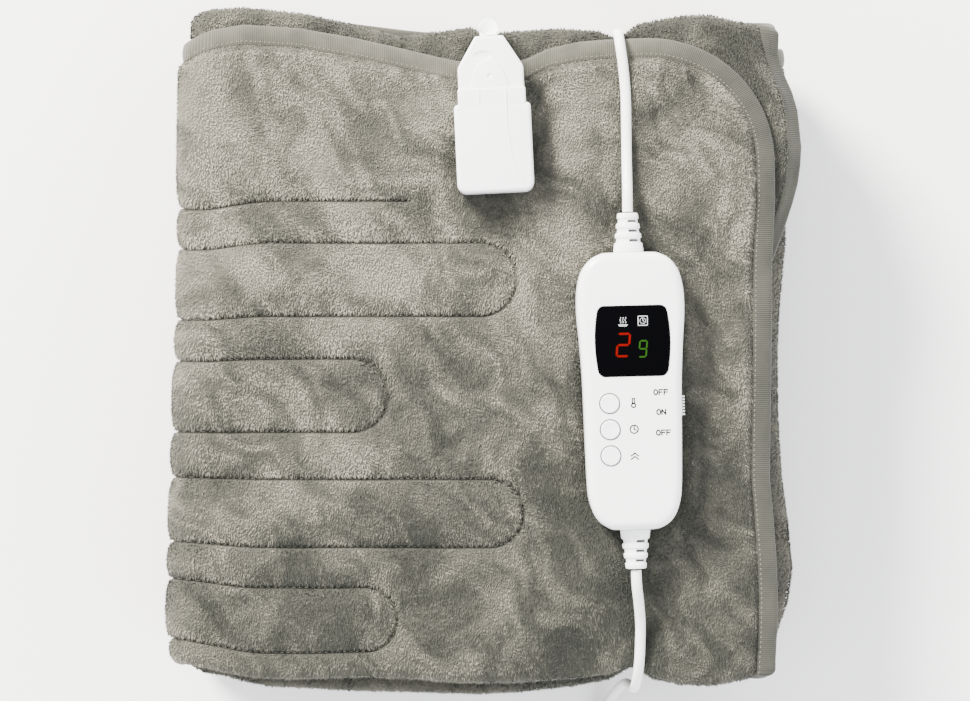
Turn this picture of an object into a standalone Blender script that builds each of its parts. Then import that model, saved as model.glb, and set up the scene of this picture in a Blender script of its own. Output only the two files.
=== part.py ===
"""Electric heated blanket, folded up, with its connector, hand controller and cords.

Metres, +Z up. The stack of cloth lies on z = 0 with its middle at the origin, the connector's
cord leaves over the +Y edge and the mains cord over the -Y edge.

The cloth is modelled flat first: u runs along its length, v across its width and w through
its thickness. It is folded in four across its width, and that packet is folded back and
forth six times along its length. The top layer is then the stitched face of the cloth.
"""
import math
from collections import namedtuple

import bmesh
import bpy
from mathutils import Matrix, Vector
from mathutils.geometry import delaunay_2d_cdt

MM = 0.001

# Cloth, flat
CLOTH_THICKNESS = 3.4 * MM
BOUND_THICKNESS = 1.8 * MM      # where the tape presses the pile flat
CORNER_RADIUS = 58 * MM
HEM_STEPS = (8.5 * MM, 10.5 * MM)   # the pile rises between these distances from the edge

# Tape folded round the edge
TAPE_WIDTH = 8 * MM
TAPE_GAP = 0.3 * MM
TAPE_WALL = 0.8 * MM

# Folding across the width: layers A, B, C and D from the top
LAYER_PITCH = 4.0 * MM
BOUND_Y = 149 * MM
FOLD_Y = 155 * MM
LAYER_STOPS = (BOUND_Y, -FOLD_Y, FOLD_Y, -FOLD_Y, BOUND_Y)
LAYER_TURN = math.pi * LAYER_PITCH / 2
PACKET_HALF = 1.5 * LAYER_PITCH + CLOTH_THICKNESS / 2

# Folding along the length: six runs from the top
RUN_GAP = 1.2 * MM
RUN_PITCH = 2 * PACKET_HALF + RUN_GAP
LEFT_X = -136 * MM
RIGHT_X = 131 * MM
BOUND_X = 139 * MM
RUN_STOPS = (BOUND_X, LEFT_X, RIGHT_X, LEFT_X, RIGHT_X, LEFT_X, BOUND_X)
RUN_TURN = math.pi * RUN_PITCH / 2
RUNS = len(RUN_STOPS) - 1
TOP_MIDDLE = PACKET_HALF + (RUNS - 1) * RUN_PITCH
STACK_TOP = TOP_MIDDLE + PACKET_HALF
LAID_Z = STACK_TOP + 0.15 * MM    # underside of what lies on the stack

# Where the mesh has its rows, in folded x and y
STATIONS_X = tuple(x * MM for x in (-136, -95, -50, 1, 68, 100, 131))
STATIONS_Y = tuple(y * MM for y in (-155, -75, 15, 100, 138.5, 155))
RUN_TURN_STEPS = 4
LAYER_TURN_STEPS = 3

# How far each edge of the top packet lies from its place on a straight fold
Reach = namedtuple("Reach", "x bound far near under")
TOP_REACH = (
    Reach(-136 * MM, +1 * MM, +6 * MM, +3 * MM, +2 * MM),
    Reach(-95 * MM, +5 * MM, +5 * MM, +1 * MM, -4 * MM),
    Reach(-50 * MM, -3 * MM, -4 * MM, +1 * MM, -5 * MM),
    Reach(+1 * MM, -11 * MM, -7 * MM, -1 * MM, -5 * MM),
    Reach(+68 * MM, -3 * MM, -9 * MM, +8 * MM, +8 * MM),
    Reach(+100 * MM, -1 * MM, +3 * MM, -2 * MM, -2 * MM),
    Reach(+131 * MM, -2 * MM, +0 * MM, +1 * MM, +0 * MM),
)
TOP_FADES = 1.5                 # runs over which the top packet's own edges fade out
WAVE = 3 * MM                   # the lower edges wander by this much
WAVE_LENGTH = 55 * MM
WAVE_PHASE = {"bound": 0.4, "far": 1.9, "near": 3.1, "under": 4.6}
RUN_PHASE = 1.7
SHIFT_DEPTH = 80 * MM           # how far from an edge its shift is felt

# The turns at the ends of the runs wander too, and lie further right at the far side
TURN_FLAT, TURN_DEPTH = 60 * MM, 70 * MM
TURN_WAVE = 1.8 * MM
TURN_PHASE = 2.3
TURN_LEAN = 3 * MM
TURN_DRAWN = 1 * MM

# Where a cord goes over an edge, all the edges below it are drawn in
Notch = namedtuple("Notch", "x side shift")
NOTCHES = (
    Notch(+1 * MM, +1, -7 * MM),
    Notch(+66 * MM, +1, -9 * MM),
    Notch(+71 * MM, -1, +8 * MM),
)
NOTCH_WIDTH = 26 * MM
BOUND_NOTCH = 0.6               # share of it that moves the taped edge

# The ends of the runs don't lie exactly over each other
END_SLIP = {"A": 0 * MM, "B": 11 * MM, "C": 7 * MM, "D": 3 * MM}
SLIP_START, SLIP_END = 20 * MM, 90 * MM
LAST_SLIP = 0.6                 # the lowest run's end slips this share of it, the other way

# Rises and hollows of the whole stack, as a share of its height
Swell = namedtuple("Swell", "x y width length share")
SWELLS = (
    Swell(-150 * MM, -40 * MM, 70 * MM, 160 * MM, +0.025),
    Swell(+160 * MM, +20 * MM, 60 * MM, 160 * MM, -0.045),
    Swell(-20 * MM, -175 * MM, 170 * MM, 60 * MM, -0.035),
    Swell(-120 * MM, 170 * MM, 110 * MM, 60 * MM, -0.03),
    Swell(+35 * MM, 185 * MM, 110 * MM, 50 * MM, -0.07),
    Swell(+71 * MM, -185 * MM, 60 * MM, 45 * MM, -0.07),
)

# Stitched channels for the heating wire, on the top layer: middle line and rounded end
Channel = namedtuple("Channel", "y end_x")
CHANNELS = (
    Channel(+34.1 * MM, -3.5 * MM),
    Channel(-21.9 * MM, -63 * MM),
    Channel(-78.0 * MM, +1 * MM),
    Channel(-130.4 * MM, -60 * MM),
)
SEAM = Channel(+70 * MM, -45 * MM)
CHANNEL_HALF = 16.8 * MM
STITCH_HALF = 4.5 * MM
STITCH_DEPTH = 1.4 * MM
CHANNEL_RISE = 1.0 * MM
CHANNEL_ARC_STEPS = 8

# Hand controller, in its own frame: x to the right, y towards the connector
CONTROLLER_PLACE = (70.0 * MM, -19.2 * MM)
CONTROLLER_TURN = math.radians(1.4)
CONTROLLER_LENGTH = 131.6 * MM
CONTROLLER_TOP_WIDTH = 51.8 * MM
CONTROLLER_BOTTOM_WIDTH = 44.8 * MM
CONTROLLER_TOP_CORNER, CONTROLLER_BOTTOM_CORNER = 13 * MM, 10 * MM
BASE_HEIGHT = 9.2 * MM
CONTROLLER_HEIGHT = 21.8 * MM
SHELL_EDGE = 3.5 * MM
SEAT_GAP = 0.3 * MM
DISPLAY = (+0.5 * MM, +23.7 * MM, 35.5 * MM, 33.4 * MM)     # x, y, width, length
DISPLAY_DEPTH = 1.2 * MM
DISPLAY_BOW = 1.8 * MM          # how far its long sides bulge
DISPLAY_PROUD = 0.1 * MM
BUTTON_X = -11.1 * MM
BUTTONS = {"button_temp": -5.7 * MM, "button_time": -18.1 * MM, "button_high": -30.5 * MM}
BUTTON_RADIUS = 4.5 * MM
BUTTON_HEIGHT = 2.6 * MM
BUTTON_PROUD = 0.7 * MM
BUTTON_TRAVEL = 0.6 * MM
BUTTON_EDGE = 0.5 * MM
SLOT_Y, SLOT_LENGTH, SLOT_HEIGHT, SLOT_DEPTH = -9.9 * MM, 20.6 * MM, 4.4 * MM, 2.4 * MM
SLOT_Z = 13.7 * MM
SLIDER_Y, SLIDER_LENGTH, SLIDER_PROUD = -7.4 * MM, 10 * MM, 1.0 * MM
RELIEF_LENGTH = 18.6 * MM
RELIEF_Z = 10.4 * MM
RELIEF_RADII = (7.3 * MM, 4.9 * MM)     # at the controller and at the cord
RELIEF_FLATNESS = (0.62, 0.82)          # its height over its width, at the same places
RIB_START, RIB_PITCH, RIB_GROOVE, RIB_SLOPE = 4.4 * MM, 4.6 * MM, 2.5 * MM, 0.5 * MM
RIB_COUNT = 3
RIB_SHARE = 0.8                         # radius in a groove over radius beside it

# Connector, in its own frame
CONNECTOR_PLACE = (3.6 * MM, 112.6 * MM)
CONNECTOR_TURN = math.radians(2.7)
SOCKET_WIDTH, SOCKET_HEIGHT = 36.6 * MM, 15 * MM
SOCKET_START, SOCKET_END = -37.3 * MM, +5.0 * MM
PLUG_WIDTH, PLUG_NECK, PLUG_END = 31.4 * MM, 13.4 * MM, 37.3 * MM
PLUG_SHOULDER = 22.5 * MM
PLUG_BOTTOM, PLUG_TOP = 1.2 * MM, 13.6 * MM
SOCKET_CORNER, SOCKET_MOUTH_CORNER, SOCKET_EDGE = 4.5 * MM, 2 * MM, 2.2 * MM
PLUG_CORNER, NECK_CORNER, PLUG_EDGE = 5 * MM, 1.5 * MM, 2 * MM
BOOT_RADIUS = 4.3 * MM
BOOT_BEND = 4.5 * MM
BOOT_DROP = 6 * MM
BOOT_END_SHARE = 0.72           # radius at its end over radius at the plug
BOOT_Z = 7.4 * MM

# Cords
CORD = 5.0 * MM
COIL_PLACE = (70 * MM, -232 * MM)
COIL_MIDDLE = 27.5 * MM
COIL_WIDTH, COIL_HEIGHT = 15.6 * MM, 20 * MM
COIL_LIFT = 1.3 * MM
COIL_EDGE = 2.5 * MM
TIE_WIDTH, TIE_THICKNESS = 8 * MM, 0.8 * MM
TIE_GAP = 0.3 * MM
TIE_SIDE_GAP = 0.8 * MM         # room for the coil's bend inside the straight band

# Mains plug, a flat two-pin one
MAINS_PLACE = (125 * MM, -224 * MM)
MAINS_SIZE = (35 * MM, 36 * MM, 13.8 * MM)
MAINS_NECK, MAINS_CORNER, MAINS_FACE_CORNER, MAINS_EDGE = 5 * MM, 5 * MM, 2 * MM, 2.5 * MM
MAINS_LIFT = 0.2 * MM
PIN_RADIUS, PIN_LENGTH, PIN_SPACING = 2.0 * MM, 19 * MM, 18.6 * MM


def smooth(share):
    """A soft step from 0 to 1."""
    share = min(max(share, 0.0), 1.0)
    return share * share * (3 - 2 * share)


def interpolate(x, rows, value):
    """The value of a table of rows at x, straight between rows."""
    if x <= rows[0].x:
        return value(rows[0])
    for low, high in zip(rows, rows[1:]):
        if x <= high.x:
            share = (x - low.x) / (high.x - low.x)
            return value(low) + share * (value(high) - value(low))
    return value(rows[-1])


# ---------------------------------------------------------------- folding

def serpentine(distance, offset, stops, pitch):
    """A point of a band that is folded back and forth, `offset` off its middle line.

    Returns its place along the axis, its height below the first run, and how many turns
    it has been through, as a number that grows smoothly within a turn.
    """
    radius = pitch / 2
    turn_length = math.pi * radius
    height = 0.0
    last = len(stops) - 2
    for run, (start, end) in enumerate(zip(stops, stops[1:])):
        heading = 1 if end > start else -1
        length = abs(end - start)
        if distance <= length or run == last:
            return start + heading * distance, height - heading * offset, float(run)
        distance -= length
        if distance < turn_length:
            angle = distance / radius
            reach = radius - heading * offset
            return (end + heading * reach * math.sin(angle),
                    height - radius + reach * math.cos(angle),
                    run + angle / math.pi)
        distance -= turn_length
        height -= pitch
    raise ValueError("the band has no stops")


def stations(stops, rows, turn_length, turn_steps, end_steps):
    """Distances along a folded band at which its mesh has a row."""
    found = []
    start_of_run = 0.0
    for run, (start, end) in enumerate(zip(stops, stops[1:])):
        length = abs(end - start)
        inner = sorted(abs(row - start) for row in rows
                       if min(start, end) < row < max(start, end))
        if run == 0:
            inner = list(end_steps) + [d for d in inner if d > end_steps[-1] + 5 * MM]
        if run == len(stops) - 2:
            inner = [d for d in inner if d < length - end_steps[-1] - 5 * MM]
            inner += [length - step for step in reversed(end_steps)]
        found += [start_of_run + d for d in [0.0] + inner]
        start_of_run += length
        if run < len(stops) - 2:
            found += [start_of_run + turn_length * k / turn_steps for k in range(turn_steps)]
            start_of_run += turn_length
    return found + [start_of_run]


U_ROWS = stations(RUN_STOPS, STATIONS_X, RUN_TURN, RUN_TURN_STEPS, HEM_STEPS)
V_ROWS = stations(LAYER_STOPS, STATIONS_Y, LAYER_TURN, LAYER_TURN_STEPS, HEM_STEPS)
LENGTH, WIDTH = U_ROWS[-1], V_ROWS[-1]

NEAR_FOLD = abs(LAYER_STOPS[1] - LAYER_STOPS[0])
FAR_FOLD = NEAR_FOLD + LAYER_TURN + abs(LAYER_STOPS[2] - LAYER_STOPS[1])
UNDER_FOLD = FAR_FOLD + LAYER_TURN + abs(LAYER_STOPS[3] - LAYER_STOPS[2])
FOLD_LINES = (
    (0.0, "bound"),
    (NEAR_FOLD, "near"), (NEAR_FOLD + LAYER_TURN, "near"),
    (FAR_FOLD, "far"), (FAR_FOLD + LAYER_TURN, "far"),
    (UNDER_FOLD, "under"), (UNDER_FOLD + LAYER_TURN, "under"),
    (WIDTH, "bound"),
)


def notch_at(x, side):
    """How strongly a cord's notch acts at x on one side, and how far it moves the edge."""
    weight, shift = 0.0, 0.0
    for notch in NOTCHES:
        if notch.side == side:
            near = math.exp(-((x - notch.x) / NOTCH_WIDTH) ** 2)
            weight = max(weight, near)
            shift += near * notch.shift
    return weight, shift


def edge_shift(edge, x, run):
    """How far an edge of one run's packet lies from its place on a straight fold."""
    side = +1 if edge in ("far", "bound") else -1
    top_share = max(0.0, 1 - run / TOP_FADES)
    drawn = interpolate(x, TOP_REACH, lambda row: getattr(row, edge))
    wave = WAVE * math.sin(x / WAVE_LENGTH + RUN_PHASE * run + WAVE_PHASE[edge])
    weight, notch = notch_at(x, side)
    if edge == "bound":
        return top_share * drawn + (1 - top_share) * (min(wave, 0.0) - abs(notch) * BOUND_NOTCH)
    free = top_share * drawn + (1 - top_share) * wave
    return (1 - weight) * free + notch


def shift_y(x, v, run):
    """How far a point of the cloth lies along Y from its place on straight folds."""
    for (start, start_edge), (end, end_edge) in zip(FOLD_LINES, FOLD_LINES[1:]):
        if v <= end or end == WIDTH:
            near_start = 1 - smooth((v - start) / SHIFT_DEPTH)
            near_end = 1 - smooth((end - v) / SHIFT_DEPTH)
            if start_edge == end_edge:
                return edge_shift(start_edge, x, run)
            return (near_start * edge_shift(start_edge, x, run)
                    + near_end * edge_shift(end_edge, x, run))
    return 0.0


def shift_x(x, y, run):
    """How far a point lies along X from its place on straight folds."""
    left = smooth((-TURN_FLAT - x) / TURN_DEPTH)
    right = smooth((x - TURN_FLAT) / TURN_DEPTH)
    wave = TURN_WAVE * math.sin(y / WAVE_LENGTH + TURN_PHASE * run)
    lean = TURN_LEAN * (y / FOLD_Y)
    return left * (wave / 2 + lean) + right * (wave - TURN_DRAWN)


def end_slip(v, distance):
    """How far a bound end slides out, for a point at this distance from it."""
    if v <= NEAR_FOLD + LAYER_TURN:
        slip = END_SLIP["A"] + (END_SLIP["B"] - END_SLIP["A"]) * smooth((v - NEAR_FOLD) / LAYER_TURN)
    elif v <= FAR_FOLD + LAYER_TURN:
        slip = END_SLIP["B"] + (END_SLIP["C"] - END_SLIP["B"]) * smooth((v - FAR_FOLD) / LAYER_TURN)
    else:
        slip = END_SLIP["C"] + (END_SLIP["D"] - END_SLIP["C"]) * smooth((v - UNDER_FOLD) / LAYER_TURN)
    return slip * (1 - smooth((distance - SLIP_START) / (SLIP_END - SLIP_START)))


def swell(x, y):
    """The stack's height at x, y, as a share of its even height."""
    return 1 + sum(s.share * math.exp(-((x - s.x) / s.width) ** 2 - ((y - s.y) / s.length) ** 2)
                   for s in SWELLS)


def folded(u, v, w):
    """Where a point of the flat cloth lies in the folded stack."""
    slid = u - end_slip(v, u) + LAST_SLIP * end_slip(v, LENGTH - u)
    y, height, _ = serpentine(v, w, LAYER_STOPS, LAYER_PITCH)
    x, z, run = serpentine(slid, height + 1.5 * LAYER_PITCH, RUN_STOPS, RUN_PITCH)
    place = Vector((x + shift_x(x, y, run), y + shift_y(x, v, run), 0.0))
    place.z = max(0.0, (TOP_MIDDLE + z) * swell(place.x, place.y))
    return place


def rounded_corner(u, v):
    """Moves a point of a square-cornered sheet so that the sheet's corners are round."""
    from_u = (CORNER_RADIUS - min(u, LENGTH - u)) / CORNER_RADIUS
    from_v = (CORNER_RADIUS - min(v, WIDTH - v)) / CORNER_RADIUS
    if from_u <= 0 or from_v <= 0:
        return u, v
    ring = max(from_u, from_v)
    angle = math.pi / 4 * min(from_u, from_v) / ring
    along, across = ring * math.cos(angle), ring * math.sin(angle)
    if from_u < from_v:
        along, across = across, along
    near_u = CORNER_RADIUS * (1 - along)
    near_v = CORNER_RADIUS * (1 - across)
    return (near_u if u < LENGTH / 2 else LENGTH - near_u,
            near_v if v < WIDTH / 2 else WIDTH - near_v)


# ---------------------------------------------------------------- cloth

def flat_sheet():
    """The cloth's middle as a flat mesh with a row of points at each station."""
    mesh = bmesh.new()
    columns, rows = len(U_ROWS) - 1, len(V_ROWS) - 1
    bmesh.ops.create_grid(mesh, x_segments=columns, y_segments=rows, size=1.0)
    for vert in mesh.verts:
        column = round((vert.co.x + 1) / 2 * columns)
        row = round((vert.co.y + 1) / 2 * rows)
        vert.co = Vector((U_ROWS[column], V_ROWS[row], 0.0))
    corner_edges = []
    for edge in mesh.edges:
        middle = (edge.verts[0].co + edge.verts[1].co) / 2
        in_corner = (min(middle.x, LENGTH - middle.x) < CORNER_RADIUS
                     and min(middle.y, WIDTH - middle.y) < CORNER_RADIUS)
        if in_corner and edge.calc_length() > 20 * MM:
            corner_edges.append(edge)
    bmesh.ops.subdivide_edges(mesh, edges=corner_edges, cuts=1, use_grid_fill=True)
    return mesh


def edge_distance(vert):
    """How far a point of the square-cornered sheet lies from its edge."""
    return min(vert.co.x, LENGTH - vert.co.x, vert.co.y, WIDTH - vert.co.y)


def channel_relief(u, v):
    """The stitched face's height over the plain cloth, from its channels and their seams."""
    x = serpentine(u, 0.0, RUN_STOPS, RUN_PITCH)[0] if u < BOUND_X - LEFT_X else LEFT_X
    y = BOUND_Y - v
    relief = 0.0
    for channel in CHANNELS:
        beyond = max(0.0, x - channel.end_x)
        distance = math.hypot(beyond, y - channel.y)
        from_seam = abs(distance - CHANNEL_HALF)
        if from_seam < STITCH_HALF:
            relief = min(relief, -STITCH_DEPTH * (1 - from_seam / STITCH_HALF))
        elif distance < CHANNEL_HALF:
            relief = max(relief, CHANNEL_RISE * smooth((CHANNEL_HALF - distance) / CHANNEL_HALF))
    beyond = math.hypot(max(0.0, x - SEAM.end_x), y - SEAM.y)
    if beyond < STITCH_HALF:
        relief = min(relief, -STITCH_DEPTH * (1 - beyond / STITCH_HALF))
    return relief


def seam_distance(u, v):
    """How far a point of the flat sheet lies from the nearest stitched seam."""
    x, y = BOUND_X - u, BOUND_Y - v
    distances = [abs(math.hypot(max(0.0, x - c.end_x), y - c.y) - CHANNEL_HALF) for c in CHANNELS]
    return min(distances + [math.hypot(max(0.0, x - SEAM.end_x), y - SEAM.y)])


def channel_lines(u_end):
    """Outlines of the channels' seams in the flat sheet, each as a list of points."""
    def point(x, y):
        return Vector((BOUND_X - x, BOUND_Y - y))

    lines = []
    for channel in CHANNELS:
        end = point(channel.end_x, channel.y)
        lines.append([Vector((u_end, end.y)), end.copy()])
        for half in (CHANNEL_HALF - STITCH_HALF, CHANNEL_HALF, CHANNEL_HALF + STITCH_HALF):
            arc = [end + half * Vector((-math.sin(angle), -math.cos(angle)))
                   for angle in (math.pi * k / CHANNEL_ARC_STEPS for k in range(CHANNEL_ARC_STEPS + 1))]
            lines.append([Vector((u_end, arc[0].y))] + arc + [Vector((u_end, arc[-1].y))])
    for side in (-STITCH_HALF, 0.0, STITCH_HALF):
        end = point(SEAM.end_x, SEAM.y + side)
        lines.append([Vector((u_end, end.y)), end])
    return lines


def stitch_region(mesh, u_start, u_end, v_start, v_end, lines):
    """Remeshes a rectangle of the stitched face so that its edges follow the seams."""
    slack = 0.1 * MM

    def inside(co):
        return (u_start - slack < co.x < u_end + slack
                and v_start - slack < co.y < v_end + slack)

    faces = {f for f in mesh.faces
             if f.normal.z > 0.9 and all(inside(v.co) for v in f.verts)}
    border = [e for e in mesh.edges if sum(f in faces for f in e.link_faces) == 1]
    keep = {v for e in border for v in e.verts}
    verts = [v for v in mesh.verts if v in keep]
    number = {v: k for k, v in enumerate(verts)}
    points = [v.co.xy.copy() for v in verts]
    edges = [(number[e.verts[0]], number[e.verts[1]]) for e in border]
    plain = [v.co.xy.copy() for v in mesh.verts
             if v not in keep and any(f in faces for f in v.link_faces)
             and seam_distance(v.co.x, v.co.y) > 2 * STITCH_HALF]
    bmesh.ops.delete(mesh, geom=list(faces), context="FACES")

    for u in U_ROWS:
        if u_start + slack < u < u_end - slack:
            ends = [k for k, p in enumerate(points) if abs(p.x - u) < slack]
            edges.append((ends[0], ends[1]))
    points += plain
    for line in lines:
        clipped = [p for p in line if u_start < p.x and v_start < p.y < v_end]
        first = len(points)
        points += clipped
        edges += [(first + k, first + k + 1) for k in range(len(clipped) - 1)]
    made, _, triangles, origins, _, _ = delaunay_2d_cdt(points, edges, [], 1, 1e-7)
    new = []
    for co, origin in zip(made, origins):
        old = [k for k in origin if k < len(verts)]
        if old:
            new.append(verts[old[0]])
        else:
            new.append(mesh.verts.new((co.x, co.y, CLOTH_THICKNESS / 2)))
    for triangle in triangles:
        mesh.faces.new([new[k] for k in triangle])
    inner = [v for v in new if v not in keep]
    fade_length = RUN_TURN / 2
    for vert in inner:
        lift = channel_relief(vert.co.x, vert.co.y)
        fade = min(1.0, (u_end - vert.co.x) / fade_length)
        start_fade = min(1.0, (vert.co.x - u_start) / fade_length) if u_start > BOUND_X else 1.0
        rise = max(lift, 0.0) * fade * (1.0 if u_start < BOUND_X else 0.0)
        vert.co.z += (min(lift, 0.0) * min(1.0, 2 * fade, 2 * start_fade)) + rise


def split_quads(mesh):
    """Cuts each four-sided face from its lowest x + y in the folded stack.

    Layers that lie on each other are then cut alike, and keep their gap.
    """
    for face in list(mesh.faces):
        if len(face.verts) != 4:
            continue
        corners = list(face.verts)
        lowest = min(range(4), key=lambda k: Vector((1, 0.93, 0.01)).dot(folded(*corners[k].co)))
        bmesh.utils.face_split(face, corners[lowest], corners[(lowest + 2) % 4])
    bmesh.ops.triangulate(mesh, faces=[f for f in mesh.faces if len(f.verts) > 3])


def turn_outwards(mesh):
    """Makes all the faces of a closed mesh point outwards."""
    bmesh.ops.recalc_face_normals(mesh, faces=mesh.faces)
    if mesh.calc_volume(signed=True) < 0:
        bmesh.ops.reverse_faces(mesh, faces=mesh.faces)


def fold_mesh(mesh):
    """Moves every point of a flat mesh to its place in the stack."""
    split_quads(mesh)
    for vert in mesh.verts:
        vert.co = folded(*vert.co)
    turn_outwards(mesh)


def cloth():
    """The blanket's cloth, with its stitched channels, as one folded solid."""
    mesh = flat_sheet()
    half = {v: (BOUND_THICKNESS if edge_distance(v) < HEM_STEPS[0] + 0.1 * MM
                else CLOTH_THICKNESS) / 2 for v in mesh.verts}
    lower = bmesh.ops.extrude_face_region(mesh, geom=mesh.faces[:], use_keep_orig=True)
    under = [item for item in lower["geom"] if isinstance(item, bmesh.types.BMVert)]
    upper = list(half)
    for vert in under:
        pressed = edge_distance(vert) < HEM_STEPS[0] + 0.1 * MM
        vert.co.z = -(BOUND_THICKNESS if pressed else CLOTH_THICKNESS) / 2
    for vert in upper:
        vert.co.z = half[vert]
    bmesh.ops.recalc_face_normals(mesh, faces=mesh.faces)

    first_turn = BOUND_X - LEFT_X
    v_start = BOUND_Y - STATIONS_Y[3]
    regions = [(BOUND_X - STATIONS_X[5], first_turn + RUN_TURN)]
    two_runs = 2 * (RIGHT_X - LEFT_X + RUN_TURN)
    regions += [(first_turn + k * two_runs, first_turn + k * two_runs + RUN_TURN) for k in (1, 2)]
    for u_start, u_end in regions:
        lines = channel_lines(u_end - 2 * MM)
        if u_start > first_turn:
            lines = [[Vector((u_start + 2 * MM, p.y)), Vector((u_end - 2 * MM, p.y))]
                     for line in lines for p in (line[0], line[-1])
                     if line[0].y != line[-1].y or p is line[0]]
        stitch_region(mesh, u_start, u_end, v_start, NEAR_FOLD, lines)

    for vert in mesh.verts:
        vert.co.x, vert.co.y = rounded_corner(vert.co.x, vert.co.y)
    fold_mesh(mesh)
    return mesh


def edge_loop():
    """The cloth's outline, flat: points in order, each with the way inwards."""
    mesh = flat_sheet()
    border = [e for e in mesh.edges if e.is_boundary]
    vert = border[0].verts[0]
    ordered = []
    while border:
        edge = next(e for e in border if vert in e.verts)
        border.remove(edge)
        ordered.append(vert.co.copy())
        vert = edge.other_vert(vert)
    mesh.free()
    loop = []
    for co in ordered:
        u, v = rounded_corner(co.x, co.y)
        centre = Vector((min(max(u, CORNER_RADIUS), LENGTH - CORNER_RADIUS),
                         min(max(v, CORNER_RADIUS), WIDTH - CORNER_RADIUS)))
        loop.append((Vector((u, v)), (centre - Vector((u, v))).normalized()))
    return loop


def tape():
    """The tape round the cloth's edge, a channel that holds the edge in it."""
    outer = BOUND_THICKNESS / 2 + TAPE_GAP + TAPE_WALL
    inner = BOUND_THICKNESS / 2 + TAPE_GAP
    back, end = -TAPE_GAP, -TAPE_GAP - TAPE_WALL
    section = ((TAPE_WIDTH, outer), (end, outer), (end, -outer), (TAPE_WIDTH, -outer),
               (TAPE_WIDTH, -inner), (back, -inner), (back, inner), (TAPE_WIDTH, inner))
    mesh = bmesh.new()
    loops = []
    for place, inwards in edge_loop():
        ring = []
        for depth, w in section:
            spot = place + inwards * depth
            ring.append(mesh.verts.new((spot.x, spot.y, w)))
        loops.append([mesh.edges.new((ring[k - 1], ring[k])) for k in range(len(ring))])
    for first, second in zip(loops, loops[1:] + loops[:1]):
        bmesh.ops.bridge_loops(mesh, edges=first + second)
    fold_mesh(mesh)
    return mesh


# ---------------------------------------------------------------- hard pieces

def rounded_outline(corners, steps=5):
    """Points of a polygon whose corners, given as (x, y, radius), are rounded."""
    outline = []
    count = len(corners)
    for k, (x, y, radius) in enumerate(corners):
        here = Vector((x, y))
        before = (Vector(corners[k - 1][:2]) - here).normalized()
        after = (Vector(corners[(k + 1) % count][:2]) - here).normalized()
        if radius <= 0:
            outline.append(here)
            continue
        half_angle = before.angle(after) / 2
        centre = here + (before + after).normalized() * radius / math.sin(half_angle)
        start = here + before * radius / math.tan(half_angle) - centre
        sweep = start.angle_signed(here + after * radius / math.tan(half_angle) - centre)
        for step in range(steps + 1):
            outline.append(centre + Matrix.Rotation(-sweep * step / steps, 2) @ start)
    return outline


def prism(outline, bottom, top):
    """A flat-ended solid over an outline."""
    mesh = bmesh.new()
    face = mesh.faces.new([mesh.verts.new((p.x, p.y, bottom)) for p in outline])
    raised = bmesh.ops.extrude_face_region(mesh, geom=[face], use_keep_orig=True)
    for item in raised["geom"]:
        if isinstance(item, bmesh.types.BMVert):
            item.co.z = top
    turn_outwards(mesh)
    return mesh


def soften(mesh, height, radius, segments):
    """Rounds the edges that lie at this height."""
    edges = [e for e in mesh.edges if all(abs(v.co.z - height) < 1e-6 for v in e.verts)]
    bmesh.ops.bevel(mesh, geom=edges, offset=radius, offset_type="OFFSET", segments=segments,
                    profile=0.5, affect="EDGES", material=-1, clamp_overlap=True)


def box(centre, size):
    """A rectangular solid."""
    mesh = bmesh.new()
    bmesh.ops.create_cube(mesh, size=1.0)
    bmesh.ops.scale(mesh, vec=size, verts=mesh.verts)
    bmesh.ops.translate(mesh, vec=centre, verts=mesh.verts)
    return mesh


def cylinder(centre, radius, height, segments=24, axis="Z"):
    """A round solid around Z or Y."""
    mesh = bmesh.new()
    bmesh.ops.create_cone(mesh, cap_ends=True, segments=segments, radius1=radius,
                          radius2=radius, depth=height)
    if axis == "Y":
        bmesh.ops.rotate(mesh, cent=(0, 0, 0), matrix=Matrix.Rotation(math.pi / 2, 3, "X"),
                         verts=mesh.verts)
    bmesh.ops.translate(mesh, vec=centre, verts=mesh.verts)
    return mesh


def controller_outline():
    """The hand controller seen from above, wider at the connector's end."""
    top, bottom, end = CONTROLLER_TOP_WIDTH / 2, CONTROLLER_BOTTOM_WIDTH / 2, CONTROLLER_LENGTH / 2
    return rounded_outline([(-top, end, CONTROLLER_TOP_CORNER), (-bottom, -end, CONTROLLER_BOTTOM_CORNER),
                            (bottom, -end, CONTROLLER_BOTTOM_CORNER), (top, end, CONTROLLER_TOP_CORNER)])


def display_outline(x, y, width, length):
    """The display's window: straight ends and bowed sides."""
    points = []
    for side in (-1, 1):
        for step in range(7):
            t = (step / 6 * 2 - 1) * side
            half = width / 2 - DISPLAY_BOW * t * t
            points.append(Vector((x + side * half, y - t * length / 2)))
    return points


def relief_rings():
    """Radii and places along a strain relief that has grooves across it."""
    rings = [(0.0, 1.0)]
    for rib in range(RIB_COUNT):
        start = RIB_START + rib * RIB_PITCH
        end = start + RIB_GROOVE
        rings += [(start, 1.0), (start + RIB_SLOPE, RIB_SHARE), (end - RIB_SLOPE, RIB_SHARE), (end, 1.0)]
    rings.append((RELIEF_LENGTH, 1.0))
    start_radius, end_radius = RELIEF_RADII
    return [((start_radius + (end_radius - start_radius) * at / RELIEF_LENGTH) * share, at)
            for at, share in rings]


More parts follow.
